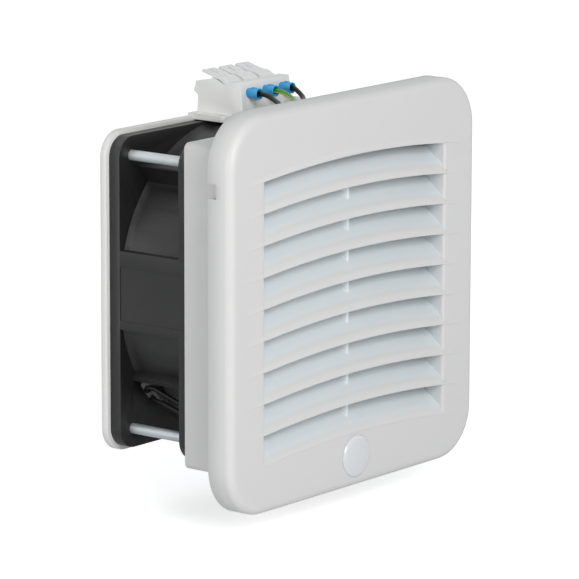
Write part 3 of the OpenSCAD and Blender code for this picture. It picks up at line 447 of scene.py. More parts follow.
def bumped(n, shader, height, strength, distance):
    """Feeds a height to the shader's normal through a Bump node."""
    bump = n.add("ShaderNodeBump", {"Strength": strength, "Distance": distance}, {"Height": height})
    n.tree.links.new(bump.outputs[0], shader.inputs["Normal"])


def plastic(name, rgb, rough=0.45, grain=1800.0, tone=0.05, bump=0.15, dust=0.08, dust_rgb=(0.55, 0.54, 0.51),
        inner=None, **constants):
    """Moulded plastic: grain, slow tone and a veil of dust, and a second colour of painted light where the
    inner mask is 1.
    """
    material, n, shader = new_material(name, **constants)
    g = n.add("ShaderNodeGroup", node_tree=moulded_grain())
    g.inputs["Color"].default_value = four(rgb)
    g.inputs["Tone change"].default_value = tone
    g.inputs["Grain per metre"].default_value = grain
    g.inputs["Roughness"].default_value = rough
    d = n.add("ShaderNodeGroup", node_tree=settled_dust())
    d.inputs["Amount"].default_value = dust
    d.inputs["Dust"].default_value = four(dust_rgb)
    link = n.tree.links.new
    # painted light: where the mask is 1 the plastic takes the inner colour, a lighter, cooler copy that
    # stands in for the light on the slats
    if inner:
        mask = n.add("ShaderNodeAttribute", attribute_name="painted_slat_light").outputs["Fac"]
        link(n.mix(mask, four(rgb), four(inner)), g.inputs["Color"])
    link(g.outputs["Color"], d.inputs["Color"])
    link(g.outputs["Roughness"], d.inputs["Roughness"])
    link(d.outputs["Color"], shader.inputs["Base Color"])
    link(d.outputs["Roughness"], shader.inputs["Roughness"])
    bumped(n, shader, g.outputs["Height"], bump, 0.05 * MM)
    return material


def frame_plastic(name, rgb):
    """Moulded plastic of the base frame and the rear frame."""
    return plastic(name, rgb, rough=0.5, grain=1300.0, tone=0.05, bump=0.14, dust=0.10)


def metal(name, rgb, rough=0.3, stretch=(300.0, 3000.0, 3000.0), bump=0.1, metallic=1.0):
    """Bare or plated metal with fine streaks."""
    material, n, shader = new_material(name, Metallic=metallic)
    g = n.add("ShaderNodeGroup", node_tree=drawn_metal())
    g.inputs["Color"].default_value = four(rgb)
    g.inputs["Stretch"].default_value = stretch
    g.inputs["Roughness"].default_value = rough
    n.tree.links.new(g.outputs["Color"], shader.inputs["Base Color"])
    n.tree.links.new(g.outputs["Roughness"], shader.inputs["Roughness"])
    bumped(n, shader, g.outputs["Height"], bump, 0.03 * MM)
    return material


def foam():
    """Dark foam of small cells."""
    material, n, shader = new_material("Gasket foam", Roughness=0.95)
    at = n.add("ShaderNodeTexCoord").outputs["Object"]
    cells = n.add("ShaderNodeTexVoronoi", {"Scale": 2200.0}, {"Vector": at}).outputs["Distance"]
    coloured(n, shader, cells, (0.015, 0.015, 0.016), (0.06, 0.06, 0.06))
    bumped(n, shader, cells, 0.7, 0.2 * MM)
    return material


def fleece(rgb):
    """Crossing fibres, as the edges of small cells bent by noise, over slow clumps."""
    material, n, shader = new_material("Fleece fibres", Roughness=0.95, Sheen_Weight=0.25)
    at = n.add("ShaderNodeTexCoord").outputs["Object"]
    bend = n.add("ShaderNodeTexNoise", {"Scale": 320.0, "Detail": 3.0}, {"Vector": at}).outputs[1]
    reach = {1: (4 * MM, 4 * MM, 4 * MM)}
    moved = n.add("ShaderNodeVectorMath", reach, {0: bend}, operation="MULTIPLY").outputs[0]
    bent = {"Vector": n.add("ShaderNodeVectorMath", links={0: at, 1: moved}, operation="ADD").outputs[0]}
    cells = n.add("ShaderNodeTexVoronoi", {"Scale": 900.0}, bent, feature="DISTANCE_TO_EDGE")
    fibres = cells.outputs["Distance"]
    clumps = n.add("ShaderNodeTexNoise", {"Scale": 120.0, "Detail": 4.0}, {"Vector": at}).outputs[0]
    tone = n.math("ADD", n.math("MULTIPLY", fibres, 1.4), n.math("MULTIPLY", clumps, 0.35), clamp=True)
    coloured(n, shader, tone, [v * 0.72 for v in rgb], rgb)
    bumped(n, shader, fibres, 0.8, 0.4 * MM)
    return material


def wound_wire(rgb):
    """Close turns of wire as a wave, bright and glossy on each turn, darker and rougher between them; the
    brighter colour on each turn is a painted highlight and the darker colour between turns painted shade.
    """
    material, n, shader = new_material("Wound copper", Metallic=0.85)
    at = n.add("ShaderNodeTexCoord").outputs["Object"]
    bands = {"Scale": 900.0, "Distortion": 0.6, "Detail": 1.0}
    turns = n.add("ShaderNodeTexWave", bands, {"Vector": at}, bands_direction="DIAGONAL").outputs[1]
    # painted highlight on each turn and painted shade in the grooves between turns
    coloured(n, shader, turns, [v * 0.45 for v in rgb], rgb)
    n.tree.links.new(n.math("ADD", n.math("MULTIPLY", turns, -0.15), 0.5), shader.inputs["Roughness"])
    bumped(n, shader, turns, 0.6, 0.2 * MM)
    return material


def striped_sheath(green, yellow):
    """Two stripes that wind slowly round a wire, read from its UV map."""
    material, n, shader = new_material("Green and yellow sheath", Roughness=0.35)
    uv = n.add("ShaderNodeUVMap", uv_map="UVMap").outputs[0]
    along, round_it = n.add("ShaderNodeSeparateXYZ", links={0: uv}).outputs[:2]
    turn = n.math("FRACT", n.math("ADD", round_it, n.math("MULTIPLY", along, 0.01)), 0.0)
    stripe = n.math("GREATER_THAN", n.math("FRACT", n.math("ADD", turn, 0.3), 0.0), 0.6)
    coloured(n, shader, stripe, green, yellow)
    return material


# Cover


def smoothstep_sum(t):
    """Integral from zero of the smoothstep of t, which is t^3 - t^4/2 up to one and then grows evenly."""
    inside = np.clip(t, 0, 1)
    return inside**3 - inside**4 / 2 + np.maximum(t - 1, 0)


def cover_shell(s):
    """Wall, front and window edge as one ring of sections.

    Round the cover go four sides, each with its outward and its running direction, and four quarter circles.
    On the outer rows a point lies on a square with round corners, inset by a distance. On the window rows it
    lies on the window's outline, grown by a distance, whose top and bottom follow circles of the bow radius.
    Across the ring the rows run up the wall, over the quarter-circle edge, over the flat front, round the
    window's edge, back along its jamb and round to the rear rim, which steps forward at a notch on each side.
    """
    front, rim, wall = s.depth / MM, s.rim / MM, s.wall / MM
    half, corner, edge = -COVER_LOW.x / MM, s.corner / MM, s.edge / MM
    window, window_corner, window_edge = s.window_half / MM, 0.8, s.window_edge / MM
    top, bow = s.top_line / MM, s.bow / MM
    bottom = top - s.openings * s.pitch / MM + s.face / MM / 2
    core = half - corner
    notch, notch_step, close_by = (45.2, 51.0), 3.9, 0.02
    inner_corner, rim_round, lead_in = 0.8, 0.25, 0.2
    side_jamb, jamb_wall, within = 2.4, 1.8, 0.05
    straight, rim_band, step_in = 1.0, 0.3, 0.1

    # one side of the path as a share from -1 to 1, with close pairs of points at the notches
    side = np.linspace(-1, 1, 57)
    marks = np.array([end + step for end in notch for step in (-close_by, close_by)]) / core
    upright = np.sort(np.concatenate([side, marks, -marks]))
    arc = np.radians(np.linspace(0, 90, 15))[1:-1]

    def quarter(cx, cz, r, q):
        """Inner points of the quarter circle that follows side q."""
        turn = arc + math.pi / 2 * q
        return np.stack([cx + r * np.cos(turn), cz + r * np.sin(turn)], -1)

    def outer_ring(inset):
        """Square outline with round corners, anticlockwise seen from the front (to the right is +X)."""
        reach, r = half - inset, corner - inset
        points = []
        for q, (out_x, out_z) in enumerate(((1, 0), (0, 1), (-1, 0), (0, -1))):
            run = (side if q % 2 else upright) * core
            points.append(np.stack([out_x * reach - out_z * run, out_z * reach + out_x * run], -1))
            points.append(quarter((out_x - out_z) * core, (out_z + out_x) * core, r, q))
        return np.concatenate(points)

    def sag(x):
        """How far a circle of the bow radius falls away at a distance from its middle."""
        return bow - np.sqrt(bow**2 - x**2)

    def window_ring(grow):
        """Outline of the window, in the same order and with as many points."""
        reach, r = window + grow, window_corner + grow
        lim = reach - r
        high, low = top + grow, bottom - grow
        corner_high, corner_low = high - sag(lim) - r, low - sag(lim) + r
        mid, span = (corner_high + corner_low) / 2, (corner_high - corner_low) / 2
        right = np.stack([np.full_like(upright, reach), mid + upright * span], -1)
        above = np.stack([-side * lim, high - sag(side * lim)], -1)
        left = np.stack([np.full_like(upright, -reach), mid - upright * span], -1)
        below = np.stack([side * lim, low - sag(side * lim)], -1)
        return np.concatenate([
            right, quarter(lim, corner_high, r, 0), above, quarter(-lim, corner_high, r, 1),
            left, quarter(-lim, corner_low, r, 2), below, quarter(lim, corner_low, r, 3)])

    outline = outer_ring(0.0)
    count = len(outline)
    height = outline[:, 1]
    in_notch = (np.abs(outline[:, 0]) > half - 1e-6) & (height > notch[0]) & (height < notch[1])
    rear = np.where(in_notch, rim + notch_step, rim)
    inside = front - wall
    on_side = np.abs(window_ring(0)[:, 0]) > window - within
    jamb = np.where(on_side, side_jamb, inside - inner_corner)
    rows = []

    def row(ring, depth):
        rows.append(np.stack([ring[:, 0], -np.broadcast_to(depth, (count,)), ring[:, 1]], -1))

    row(outer_ring(rim_round), rear)
    row(outline, rear + rim_round)
    row(outline, np.maximum(front - edge - straight, rear + rim_band))
    for a in np.radians(np.linspace(0, 90, 9)):
        row(outer_ring(edge * (1 - math.cos(a))), front - edge + edge * math.sin(a))
    outer, inner = outer_ring(edge), window_ring(window_edge)
    for share in (0.08, 0.5, 0.92):
        row(outer + (inner - outer) * share, front)
    for a in np.radians(np.linspace(0, 90, 6)):
        row(window_ring(window_edge * (1 - math.sin(a))), front - window_edge * (1 - math.cos(a)))
    row(window_ring(0), jamb + lead_in)
    row(window_ring(lead_in), jamb)
    row(window_ring(jamb_wall), jamb)
    row(window_ring(jamb_wall + lead_in), np.minimum(jamb + lead_in, inside - step_in))
    row(window_ring(jamb_wall + lead_in), inside)
    row(outer_ring(wall + inner_corner), inside)
    row(outer_ring(wall), inside - inner_corner)
    row(outer_ring(wall), np.minimum(rear + rim_band, inside - inner_corner - step_in))
    row(outer_ring(wall - rim_round), rear)
    points = np.stack(rows)
    return points.reshape(-1, 3), grid_quads(len(rows), count, close_rows=True, close_cols=True)


def louvre(s, k):
    """One slat with its lip, as a row of closed sections along a circular arc of the bow radius.

    With w the height over the louvre line and p the lip's height, which falls off with the cube of the
    distance from the middle, the front face runs at a depth of front + p - first w - gain times the integral
    of a smoothstep of (w - start) / bend, so that the lip's steep face bends smoothly into the slope of the
    slat. The underside rises straight at the same slope. Past the window only a low lip is left, at a depth
    of front + p (1 - w / face) to a low power.
    """
    front, face, bow = s.depth / MM, s.face / MM, s.bow / MM
    lip_half, line = s.lip_half / MM, (s.top_line - k * s.pitch) / MM
    first, gain, start, bend = 0.3, 0.935, 0.6, 4.4
    slope = first + gain
    rear, nose, nose_back, under_wall = 2.6, 0.22, 0.45, 0.25
    low_rear, low_power, low_share, low_slope = 1.2, 1.5, 0.35, 0.06
    crowding, close_by = 1.35, 0.001

    # the slat reaches just past the rounded sides of the window, and the first line has no slat
    ends = (s.window_half + s.window_edge) / MM + 0.05
    inner = np.linspace(-ends, ends, 97)
    outer = np.linspace(ends + 0.02, lip_half, 15)
    across = np.concatenate([-outer[::-1], inner, outer])
    deep = (np.abs(across) <= ends) & (k > 0)
    share = low_share if k == s.openings else 1.0
    p = (share * s.proud / MM * (1 - np.abs(across / lip_half) ** 3))[:, None]
    one = np.ones_like(p)

    # front faces of slat and low lip
    t = np.linspace(0, 1, 22)[None, :] ** crowding
    far = (front + p - rear + gain * (start + bend / 2)) / slope
    w_slat = nose + (far - nose) * t
    d_slat = front + p - first * w_slat - gain * bend * smoothstep_sum((w_slat - start) / bend)
    w_lip = (nose + (face - nose) * t) * one
    d_lip = front + p * np.clip(1 - w_lip / face, 0, 1) ** low_power - low_slope * t

    # round nose at the lower edge
    a = np.radians(np.linspace(-80, 0, 5))[None, :]
    w_nose = nose * (1 + np.sin(a)) * one
    set_back = nose * (1 - np.cos(a))
    nose_slat = front + p - first * nose - set_back
    nose_lip = front + p * (1 - nose / face) ** low_power - set_back

    # underside, from the rear to the nose, and a last point that closes the section behind
    under_slat = np.linspace(rear, front - nose_back, 7)[None, :] * one
    under_lip = np.linspace(front - low_rear, front - nose_back, 7)[None, :] * one
    under_w = np.maximum((front - under_slat) / slope - under_wall, 0.0)
    slat_w = np.concatenate([under_w, w_nose, w_slat[:, 1:], w_slat[:, -1:]], 1)
    slat_d = np.concatenate([under_slat, nose_slat, d_slat[:, 1:], rear * one - close_by], 1)
    lip_w = np.concatenate([0 * under_w, w_nose, w_lip[:, 1:], face * one], 1)
    lip_d = np.concatenate([under_lip, nose_lip, d_lip[:, 1:], (front - low_rear) * one - close_by], 1)
    w = np.where(deep[:, None], slat_w, lip_w)
    d = np.where(deep[:, None], slat_d, lip_d)
    theta = np.arcsin(across / bow)[:, None]
    return closed_loft(np.stack([(bow + w) * np.sin(theta), -d, line - bow + (bow + w) * np.cos(theta)], -1))


def painted_slat_light_mask(piece, s):
    """A painted-light mask per vertex that rises as a smoothstep from 0 to 1 behind the front, inside the
    window only, where the slats take their lighter, cooler painted light.
    """
    first, rise, beside, above = 0.3 * MM, 2.0 * MM, 0.6 * MM, 1.5 * MM
    points = np.empty(len(piece.data.vertices) * 3)
    piece.data.vertices.foreach_get("co", points)
    x, y, z = points.reshape(-1, 3).T
    low = s.top_line - s.openings * s.pitch
    inside = (np.abs(x) < s.window_half + beside) & (z < s.top_line + above) & (z > low - above)
    behind = np.clip((s.depth + y - first) / rise, 0, 1)
    mask = piece.data.attributes.new("painted_slat_light", "FLOAT", "POINT")
    mask.data.foreach_set("value", np.where(inside, behind**2 * (3 - 2 * behind), 0.0).astype(np.float32))


def box_loft(lo, hi, cut=0.3):
    """A bar between two corners with its four long edges cut, closed at both ends along Z."""
    (x0, y0, z0), (x1, y1, z1) = lo, hi
    ring = [
        (x0 + cut, y0), (x1 - cut, y0), (x1, y0 + cut), (x1, y1 - cut),
        (x1 - cut, y1), (x0 + cut, y1), (x0, y1 - cut), (x0, y0 + cut)]
    return closed_loft(np.array([[(x, y, z) for x, y in ring] for z in (z0, z1)], float))


def bar_loft(radius, x0, x1, y, z, sides=32, cut=0.15):
    """A round bar along X with slightly chamfered ends."""
    a = np.linspace(0, 2 * math.pi, sides, endpoint=False)
    x = np.array([x0, x0 + cut, x1 - cut, x1])[:, None]
    r = np.array([radius - cut, radius, radius, radius - cut])[:, None]
    return closed_loft(np.stack([x + 0 * a, y + r * np.cos(a), z + r * np.sin(a)], -1))


def revolved(profile, sides=96, x=0.0, z=0.0):
    """Turns a profile of (radius, depth) pairs round an axis along Y and closes both ends by fans."""
    profile = np.asarray(profile, float)
    a = np.linspace(0, 2 * math.pi, sides, endpoint=False)
    r, y = profile[:, 0:1], profile[:, 1:2]
    return closed_loft(np.stack([x + r * np.cos(a), y + 0 * a, z + r * np.sin(a)], -1))


# Wires


def smooth_route(route, step=0.7):
    """Centripetal Catmull-Rom curve through the points of a route, sampled evenly."""
    p = np.asarray(route, float)
    p = np.concatenate([2 * p[:1] - p[1:2], p, 2 * p[-1:] - p[-2:-1]])
    knots = np.concatenate([[0], np.cumsum(np.linalg.norm(np.diff(p, axis=0), axis=1) ** 0.5)])
    out = []
    for i in range(1, len(p) - 2):
        t0, t1, t2, t3 = knots[i - 1 : i + 3]
        n = max(2, int(np.linalg.norm(p[i + 1] - p[i]) / step))
        t = np.linspace(t1, t2, n, endpoint=False)[:, None]
        a1 = (t1 - t) / (t1 - t0) * p[i - 1] + (t - t0) / (t1 - t0) * p[i]
        a2 = (t2 - t) / (t2 - t1) * p[i] + (t - t1) / (t2 - t1) * p[i + 1]
        a3 = (t3 - t) / (t3 - t2) * p[i + 1] + (t - t2) / (t3 - t2) * p[i + 2]
        b1 = (t2 - t) / (t2 - t0) * a1 + (t - t0) / (t2 - t0) * a2
        b2 = (t3 - t) / (t3 - t1) * a2 + (t - t1) / (t3 - t1) * a3
        out.append((t2 - t) / (t2 - t1) * b1 + (t - t1) / (t2 - t1) * b2)
    return np.concatenate(out + [p[-2:-1]])


def tube(name, route, radius, sides=16):
    """A round tube along a smooth route.

    Each ring stands square to the route, and its side vectors are carried along without twist. UV runs along
    the wire in millimetres and once round it.
    """
    path = smooth_route(route)
    tangent = np.gradient(path, axis=0)
    tangent /= np.linalg.norm(tangent, axis=1)[:, None]
    side = np.zeros_like(path)
    current = np.array([0.0, 0.0, 1.0])
    for i, t in enumerate(tangent):
        current = current - (current @ t) * t
        current /= np.linalg.norm(current)
        side[i] = current
    other = np.cross(tangent, side)
    a = np.linspace(0, 2 * math.pi, sides, endpoint=False)
    spokes = np.cos(a)[None, :, None] * side[:, None, :] + np.sin(a)[None, :, None] * other[:, None, :]
    points, quads = closed_loft(path[:, None, :] + radius * spokes)
    run = np.concatenate([[0], np.cumsum(np.linalg.norm(np.diff(path, axis=0), axis=1))])
    uv = np.stack([np.repeat(run, sides), np.tile(a / (2 * math.pi), len(path))], -1)
    uv = np.concatenate([uv, [[0, 0], [run[-1], 0]]])
    return outward(mesh_piece(name, points, quads, uv))


# Filter mat


def fleece_pad(name, lo, hi):
    """A thin pad between two corners: a grid of points over each face, and a wall round the border.

    The thickness swells by a low sum of sines. Towards the edge it falls off as the root of one less a high
    power of the distance from the middle.
    """
    n, margin, thinner, swell = 90, 0.2, 0.35, 0.3
    edge_power, edge_share = 14, 0.45
    u = np.sin(np.linspace(-1, 1, n) * math.pi / 2)
    gx, gz = np.meshgrid(u, u, indexing="ij")
    mid, half = (lo + hi) / 2, (hi - lo) / 2
    rim = np.clip(1 - np.maximum(np.abs(gx), np.abs(gz)) ** edge_power, 0, 1) ** 0.5
    broad = 0.25 * np.sin(7.1 * gx + 2.0 * gz) * np.sin(5.3 * gz - 1.1)
    fine = 0.12 * np.sin(23 * gx + 4) * np.sin(19 * gz)
    t = (half[1] - thinner + swell * (broad + fine)) * (1 - edge_share + edge_share * rim)
    x, z = mid[0] + gx * (half[0] - margin), mid[2] + gz * (half[2] - margin)
    points = np.concatenate([np.stack([x, mid[1] + y, z], -1).reshape(-1, 3) for y in (-t, t)])
    k = np.arange(n)
    border = np.concatenate([k * n, (n - 1) * n + k[1:], (k[::-1] * n + n - 1)[1:], k[::-1][1:-1]])
    after = np.roll(border, -1)
    walls = np.stack([border, after, after + n * n, border + n * n], -1)
    quads = np.concatenate([grid_quads(n, n), grid_quads(n, n, start=n * n, flip=True), walls])
    return outward(mesh_piece(name, points, quads))


# Terminals


def plate_loft(outline, x0, x1, cut=0.18):
    """A flat piece from a side outline of (depth, height) pairs, spread across from x0 to x1.

    The two outer sections are the outline drawn towards its middle by the chamfer, and the two inner ones are
    the outline itself.
    """
    outline = np.asarray(outline, float)
    inward = outline.mean(0) - outline
    small = outline + cut * inward / np.linalg.norm(inward, axis=1)[:, None]
    sections = ((x0, small), (x0 + cut, outline), (x1 - cut, outline), (x1, small))
    return closed_loft(np.stack([np.column_stack([np.full(len(o), x), o]) for x, o in sections]))


def lever_piece(k):
    """A thin lever: knuckle on its pivot, sloping paddle with a lengthwise slot, and a broad tip."""
    lo, hi = (np.array(v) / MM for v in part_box(f"terminal_lever_{k}"))
    mid, half, slot_half, tip_inset = (lo[0] + hi[0]) / 2, 4.1, 0.45, 0.1
    x0, x1 = mid - half, mid + half
    pivot_y, pivot_z, pivot_radius, knuckle_radius = 46.59, 72.281, 0.7, 1.15
    a = np.linspace(0, 2 * math.pi, 24, endpoint=False)
    knuckle = np.stack([pivot_y + knuckle_radius * np.cos(a), pivot_z + knuckle_radius * np.sin(a)], -1)
    root = [
        (55.0, 77.0), (53.0, 76.55), (50.2, 76.4), (48.3, 75.6), (46.2, 74.3), (45.2, 72.9),
        (45.8, 71.8), (47.6, 71.6), (48.6, 72.8), (49.9, 74.6), (51.8, 75.5), (55.0, 76.25)]
    prong = [(59.3, 78.25), (54.8, 76.95), (54.8, 76.2), (59.3, 77.5)]
    tip = [(60.0, 78.5), (59.1, 78.2), (59.1, 77.4), (59.7, 77.45), (60.1, 77.9)]
    parts = [
        plate_loft(knuckle, x0, x1), plate_loft(root, x0, x1),
        plate_loft(prong, x0, mid - slot_half), plate_loft(prong, mid + slot_half, x1),
        plate_loft(tip, x0 + tip_inset, x1 - tip_inset),
        bar_loft(pivot_radius, lo[0], hi[0], pivot_y, pivot_z, 24)]
    return outward(mesh_piece(f"terminal_lever_{k}_paddle", *joined(parts), smooth=False))


def ferrule_piece():
    """Three collars turned round their wires: a short sleeve, a slight flare and a hollow mouth.

    Each is a closed profile of (radius, depth) pairs, so the two hubs of its turned points are left out. A
    small nub stands on top.
    """
    poles, z, sides, nub_sides, nub_up = (-0.1, 9.9, 19.9), 70.925, 40, 14, 1.95
    profile = [
        (1.75, 40.4), (1.9, 40.2), (1.92, 37.8), (2.1, 36.2), (2.2, 35.0),
        (2.12, 34.8), (1.75, 34.85), (1.35, 35.6), (1.15, 37.0), (1.05, 40.4)]
    nub = [(0.25, 38.7), (0.5, 38.4), (0.5, 36.4), (0.25, 36.1)]
    parts = []
    for x in poles:
        rings = revolved(profile, sides, x, z)[0][:-2]
        parts.append((rings, grid_quads(len(profile), sides, close_rows=True, close_cols=True)))
        parts.append(revolved(nub, nub_sides, x, z + nub_up))
    return outward(mesh_piece("ferrule_collars", *joined(parts)))


def raise_front(points):
    """Raises the terminal block's front wall and slants its front face.

    Above the ledge the rise grows evenly towards the front. On the front face the slant grows evenly down
    from its upper edge.
    """
    x, y, z = points.T
    rise, rise_over, rise_from, ledge = 1.3, 2.6, 48.3, 73.2
    slant, slant_over, upper_edge, face_depth = 1.8, 11.3, 73.75, 40.6
    lift = rise * np.clip((rise_from - y) / rise_over, 0, 1) * (z > ledge)
    lean = slant * np.clip((upper_edge - z) / slant_over, 0, 1) * (y < face_depth)
    return np.stack([x, y - lean, z + lift], -1)


# Stage


def add_camera(scene):
    """The camera at the photograph's place: its right, up and ahead directions, its place and its lens."""
    right, up = (0.62112959, -0.78370523, 0.00203639), (0.15418436, 0.12474641, 0.98013546)
    ahead, at = (0.76839131, 0.60847716, -0.19831878), (-1.263479, -0.980248, 0.323267)
    camera = bpy.data.objects.new("Camera", bpy.data.cameras.new("Camera"))
    camera.data.lens, camera.data.sensor_width = 268.51, 36.0
    camera.data.clip_start, camera.data.clip_end = 0.05, 50.0
    rows = [(right[i], up[i], -ahead[i], at[i]) for i in range(3)]
    camera.matrix_world = Matrix([*rows, (0, 0, 0, 1)])
    scene.collection.objects.link(camera)
    scene.camera = camera


def add_surroundings(scene, sky):
    """White where the camera or a reflection sees it, and a slightly cool soft light for everything else."""
    world = bpy.data.worlds.new("White room")
    world.use_nodes = True
    scene.world = world
    n = Nodes(world.node_tree)
    path = n.add("ShaderNodeLightPath").outputs
    mirrored = n.math("MAXIMUM", path["Is Glossy Ray"], path["Is Transmission Ray"])
    seen = n.math("MAXIMUM", path["Is Camera Ray"], mirrored)
    background = world.node_tree.nodes["Background"]
    n.tree.links.new(n.mix(seen, (0.91, 0.96, 1.0, 1), (1, 1, 1, 1)), background.inputs["Color"])
    strength = n.math("ADD", n.math("MULTIPLY", seen, 1.0 - sky), sky)
    n.tree.links.new(strength, background.inputs["Strength"])


def add_floor(scene):
    """A pale floor just under the cover when that is tipped forward by a right angle round its pins."""
    reach, gap, glow = 4.0, 0.8 * MM, 0.62
    low = PIN_AXIS.z - (PIN_AXIS.y - COVER_LOW.y) - gap
    corners = [(-reach, -reach, low), (reach, -reach, low), (reach, reach, low), (-reach, reach, low)]
    mesh = bpy.data.meshes.new("Floor")
    mesh.from_pydata(corners, [], [(0, 1, 2, 3)])
    floor = bpy.data.objects.new("Floor", mesh)
    scene.collection.objects.link(floor)
    material, n, shader = new_material("Pale floor", Roughness=0.9)
    at = n.add("ShaderNodeTexCoord").outputs["Object"]
    grain = n.add("ShaderNodeTexNoise", {"Scale": 220.0, "Detail": 2.0}, {"Vector": at}).outputs[0]
    coloured(n, shader, grain, (0.90, 0.90, 0.90), (0.93, 0.93, 0.93))
    shader.inputs["Emission Color"].default_value = (1, 1, 1, 1)
    camera_ray = n.add("ShaderNodeLightPath").outputs["Is Camera Ray"]
    n.tree.links.new(n.math("MULTIPLY", camera_ray, glow), shader.inputs["Emission Strength"])
    floor.data.materials.append(material)


def add_lamp(scene, name, at, aim, size, watts):
    """A square soft lamp that looks at a point."""
    lamp = bpy.data.objects.new(name, bpy.data.lights.new(name, "AREA"))
    lamp.data.size, lamp.data.energy = size, watts
    lamp.data.color = (1.0, 0.985, 0.965)
    lamp.location = at
    lamp.rotation_euler = (Vector(aim) - Vector(at)).to_track_quat("-Z", "Y").to_euler()
    scene.collection.objects.link(lamp)


# Operators


class FILTERFAN_OT_stage(bpy.types.Operator):
    """Camera at the photograph's angle, pale floor, white surroundings and soft lamps"""

    bl_idname = "filter_fan.stage"
    bl_label = "Stage"

    def execute(self, context):
        scene = context.scene
        s = scene.filter_fan_stage
        scene.view_settings.view_transform = "Standard"
        add_camera(scene)
        add_surroundings(scene, s.sky)
        add_floor(scene)
        add_lamp(scene, "Front lamp", (-0.75, -1.35, 0.70), (0, 0, 0), 0.8, s.front)
        add_lamp(scene, "Left lamp", (-1.5, 0.25, 0.30), (0, 0.03, 0), 1.0, s.left)
        add_lamp(scene, "Top lamp", (-0.4, 0.9, 1.3), (0, 0.02, 0), 1.0, s.top)
        return {"FINISHED"}


class FILTERFAN_OT_front_cover(bpy.types.Operator):
    """Louvred cover: wall, window with its jambs, nine slats with proud lips, centre rib and hinge bosses"""

    bl_idname = "filter_fan.front_cover"
    bl_label = "Front cover"

    def execute(self, context):
        s = context.scene.filter_fan_cover
        c = context.scene.filter_fan_colours
        rib_half, rib_front, rib_rear = 0.7, -7.9, -2.8
        rib_low = (s.top_line - s.openings * s.pitch) / MM + 3.0
        rib_high = (s.top_line - s.pitch) / MM + 2.0
        boss_radius, boss_x, boss_inner, boss_outer = 1.4, 45.0, 3.3, 7.0
        lofts = [cover_shell(s)] + [louvre(s, k) for k in range(s.openings + 1)]
        lofts.append(box_loft((-rib_half, rib_front, rib_low), (rib_half, rib_rear, rib_high)))
        for x in (-boss_x, boss_x):
            for x0, x1 in ((x - boss_outer, x - boss_inner), (x + boss_inner, x + boss_outer)):
                lofts.append(bar_loft(boss_radius, x0, x1, PIN_AXIS.y / MM, PIN_AXIS.z / MM))
        piece = outward(mesh_piece("cover_shell_and_louvres", *joined(lofts)))
        piece.data.set_sharp_from_angle(angle=math.radians(50))
        # the slats take the lighter, cooler slat colour as painted light
        material = plastic(
            "Pale grey cover plastic", c.cover, rough=0.42, grain=1500.0, tone=0.03, bump=0.10, dust=0.10,
            inner=c.slat)
        painted_slat_light_mask(piece, s)
        place(piece, "cover", material, "front_cover", slot="cover_plastic")
        return {"FINISHED"}


class FILTERFAN_OT_badge(bpy.types.Operator):
    """Round domed badge, left blank"""

    bl_idname = "filter_fan.badge"
    bl_label = "Badge"

    def execute(self, context):
        # the dome is a quarter of an ellipse turned round the badge's axis
        dome_radius, dome_rise, shoulder, middle_z = 7.9, 0.9, 12.55, -63.0
        a = np.linspace(0, 1, 14)[1:] * math.pi / 2
        dome = np.stack([dome_radius * np.sin(a), -shoulder - dome_rise * np.cos(a)], -1)
        edge = np.array([(8.12, -12.40), (8.2, -12.2), (8.2, -12.0), (8.0, -12.0)])
        points, quads = revolved(np.concatenate([dome, edge]), z=middle_z)
        piece = outward(mesh_piece("badge_dome", points, quads))
        material = plastic(
            "Badge resin", (0.68, 0.70, 0.72), rough=0.2, grain=900.0, tone=0.02, bump=0.03, dust=0.03,
            Coat_Weight=0.8, Coat_Roughness=0.05)
        place(piece, "cover", material, "cover_badge", slot="badge_resin")
        dress("hinge_pins", metal("Pin steel", (0.55, 0.55, 0.56), 0.28))
        return {"FINISHED"}


class FILTERFAN_OT_base_frame(bpy.types.Operator):
    """Base frame that holds cover, mat and fan, with its foam gasket"""

    bl_idname = "filter_fan.base_frame"
    bl_label = "Base frame and gasket"

    def execute(self, context):
        c = context.scene.filter_fan_colours
        grey = frame_plastic("Pale grey frame plastic", c.frame_part)
        piece = rounded_copy("base_frame", "base_frame_rounded", 0.45)
        place(piece, "base", grey, "base_frame", slot="frame_plastic")
        piece = rounded_copy("gasket", "gasket_foam", 0.4, segments=3)
        place(piece, "base", foam(), "gasket", slot="foam")
        return {"FINISHED"}


class FILTERFAN_OT_filter_mat(bpy.types.Operator):
    """Fibrous filter mat between cover and inlet grid"""

    bl_idname = "filter_fan.filter_mat"
    bl_label = "Filter mat"

    def execute(self, context):
        lo, hi = (np.array(v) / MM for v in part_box("filter_mat"))
        piece = fleece_pad("filter_mat_fleece", lo, hi)
        c = context.scene.filter_fan_colours
        place(piece, "base", fleece(c.mat), "filter_mat", slot="mat_fibre")
        dress("inlet_guard", plastic("Grid plastic", (0.30, 0.31, 0.32), rough=0.55, grain=1500.0, dust=0.1))
        return {"FINISHED"}


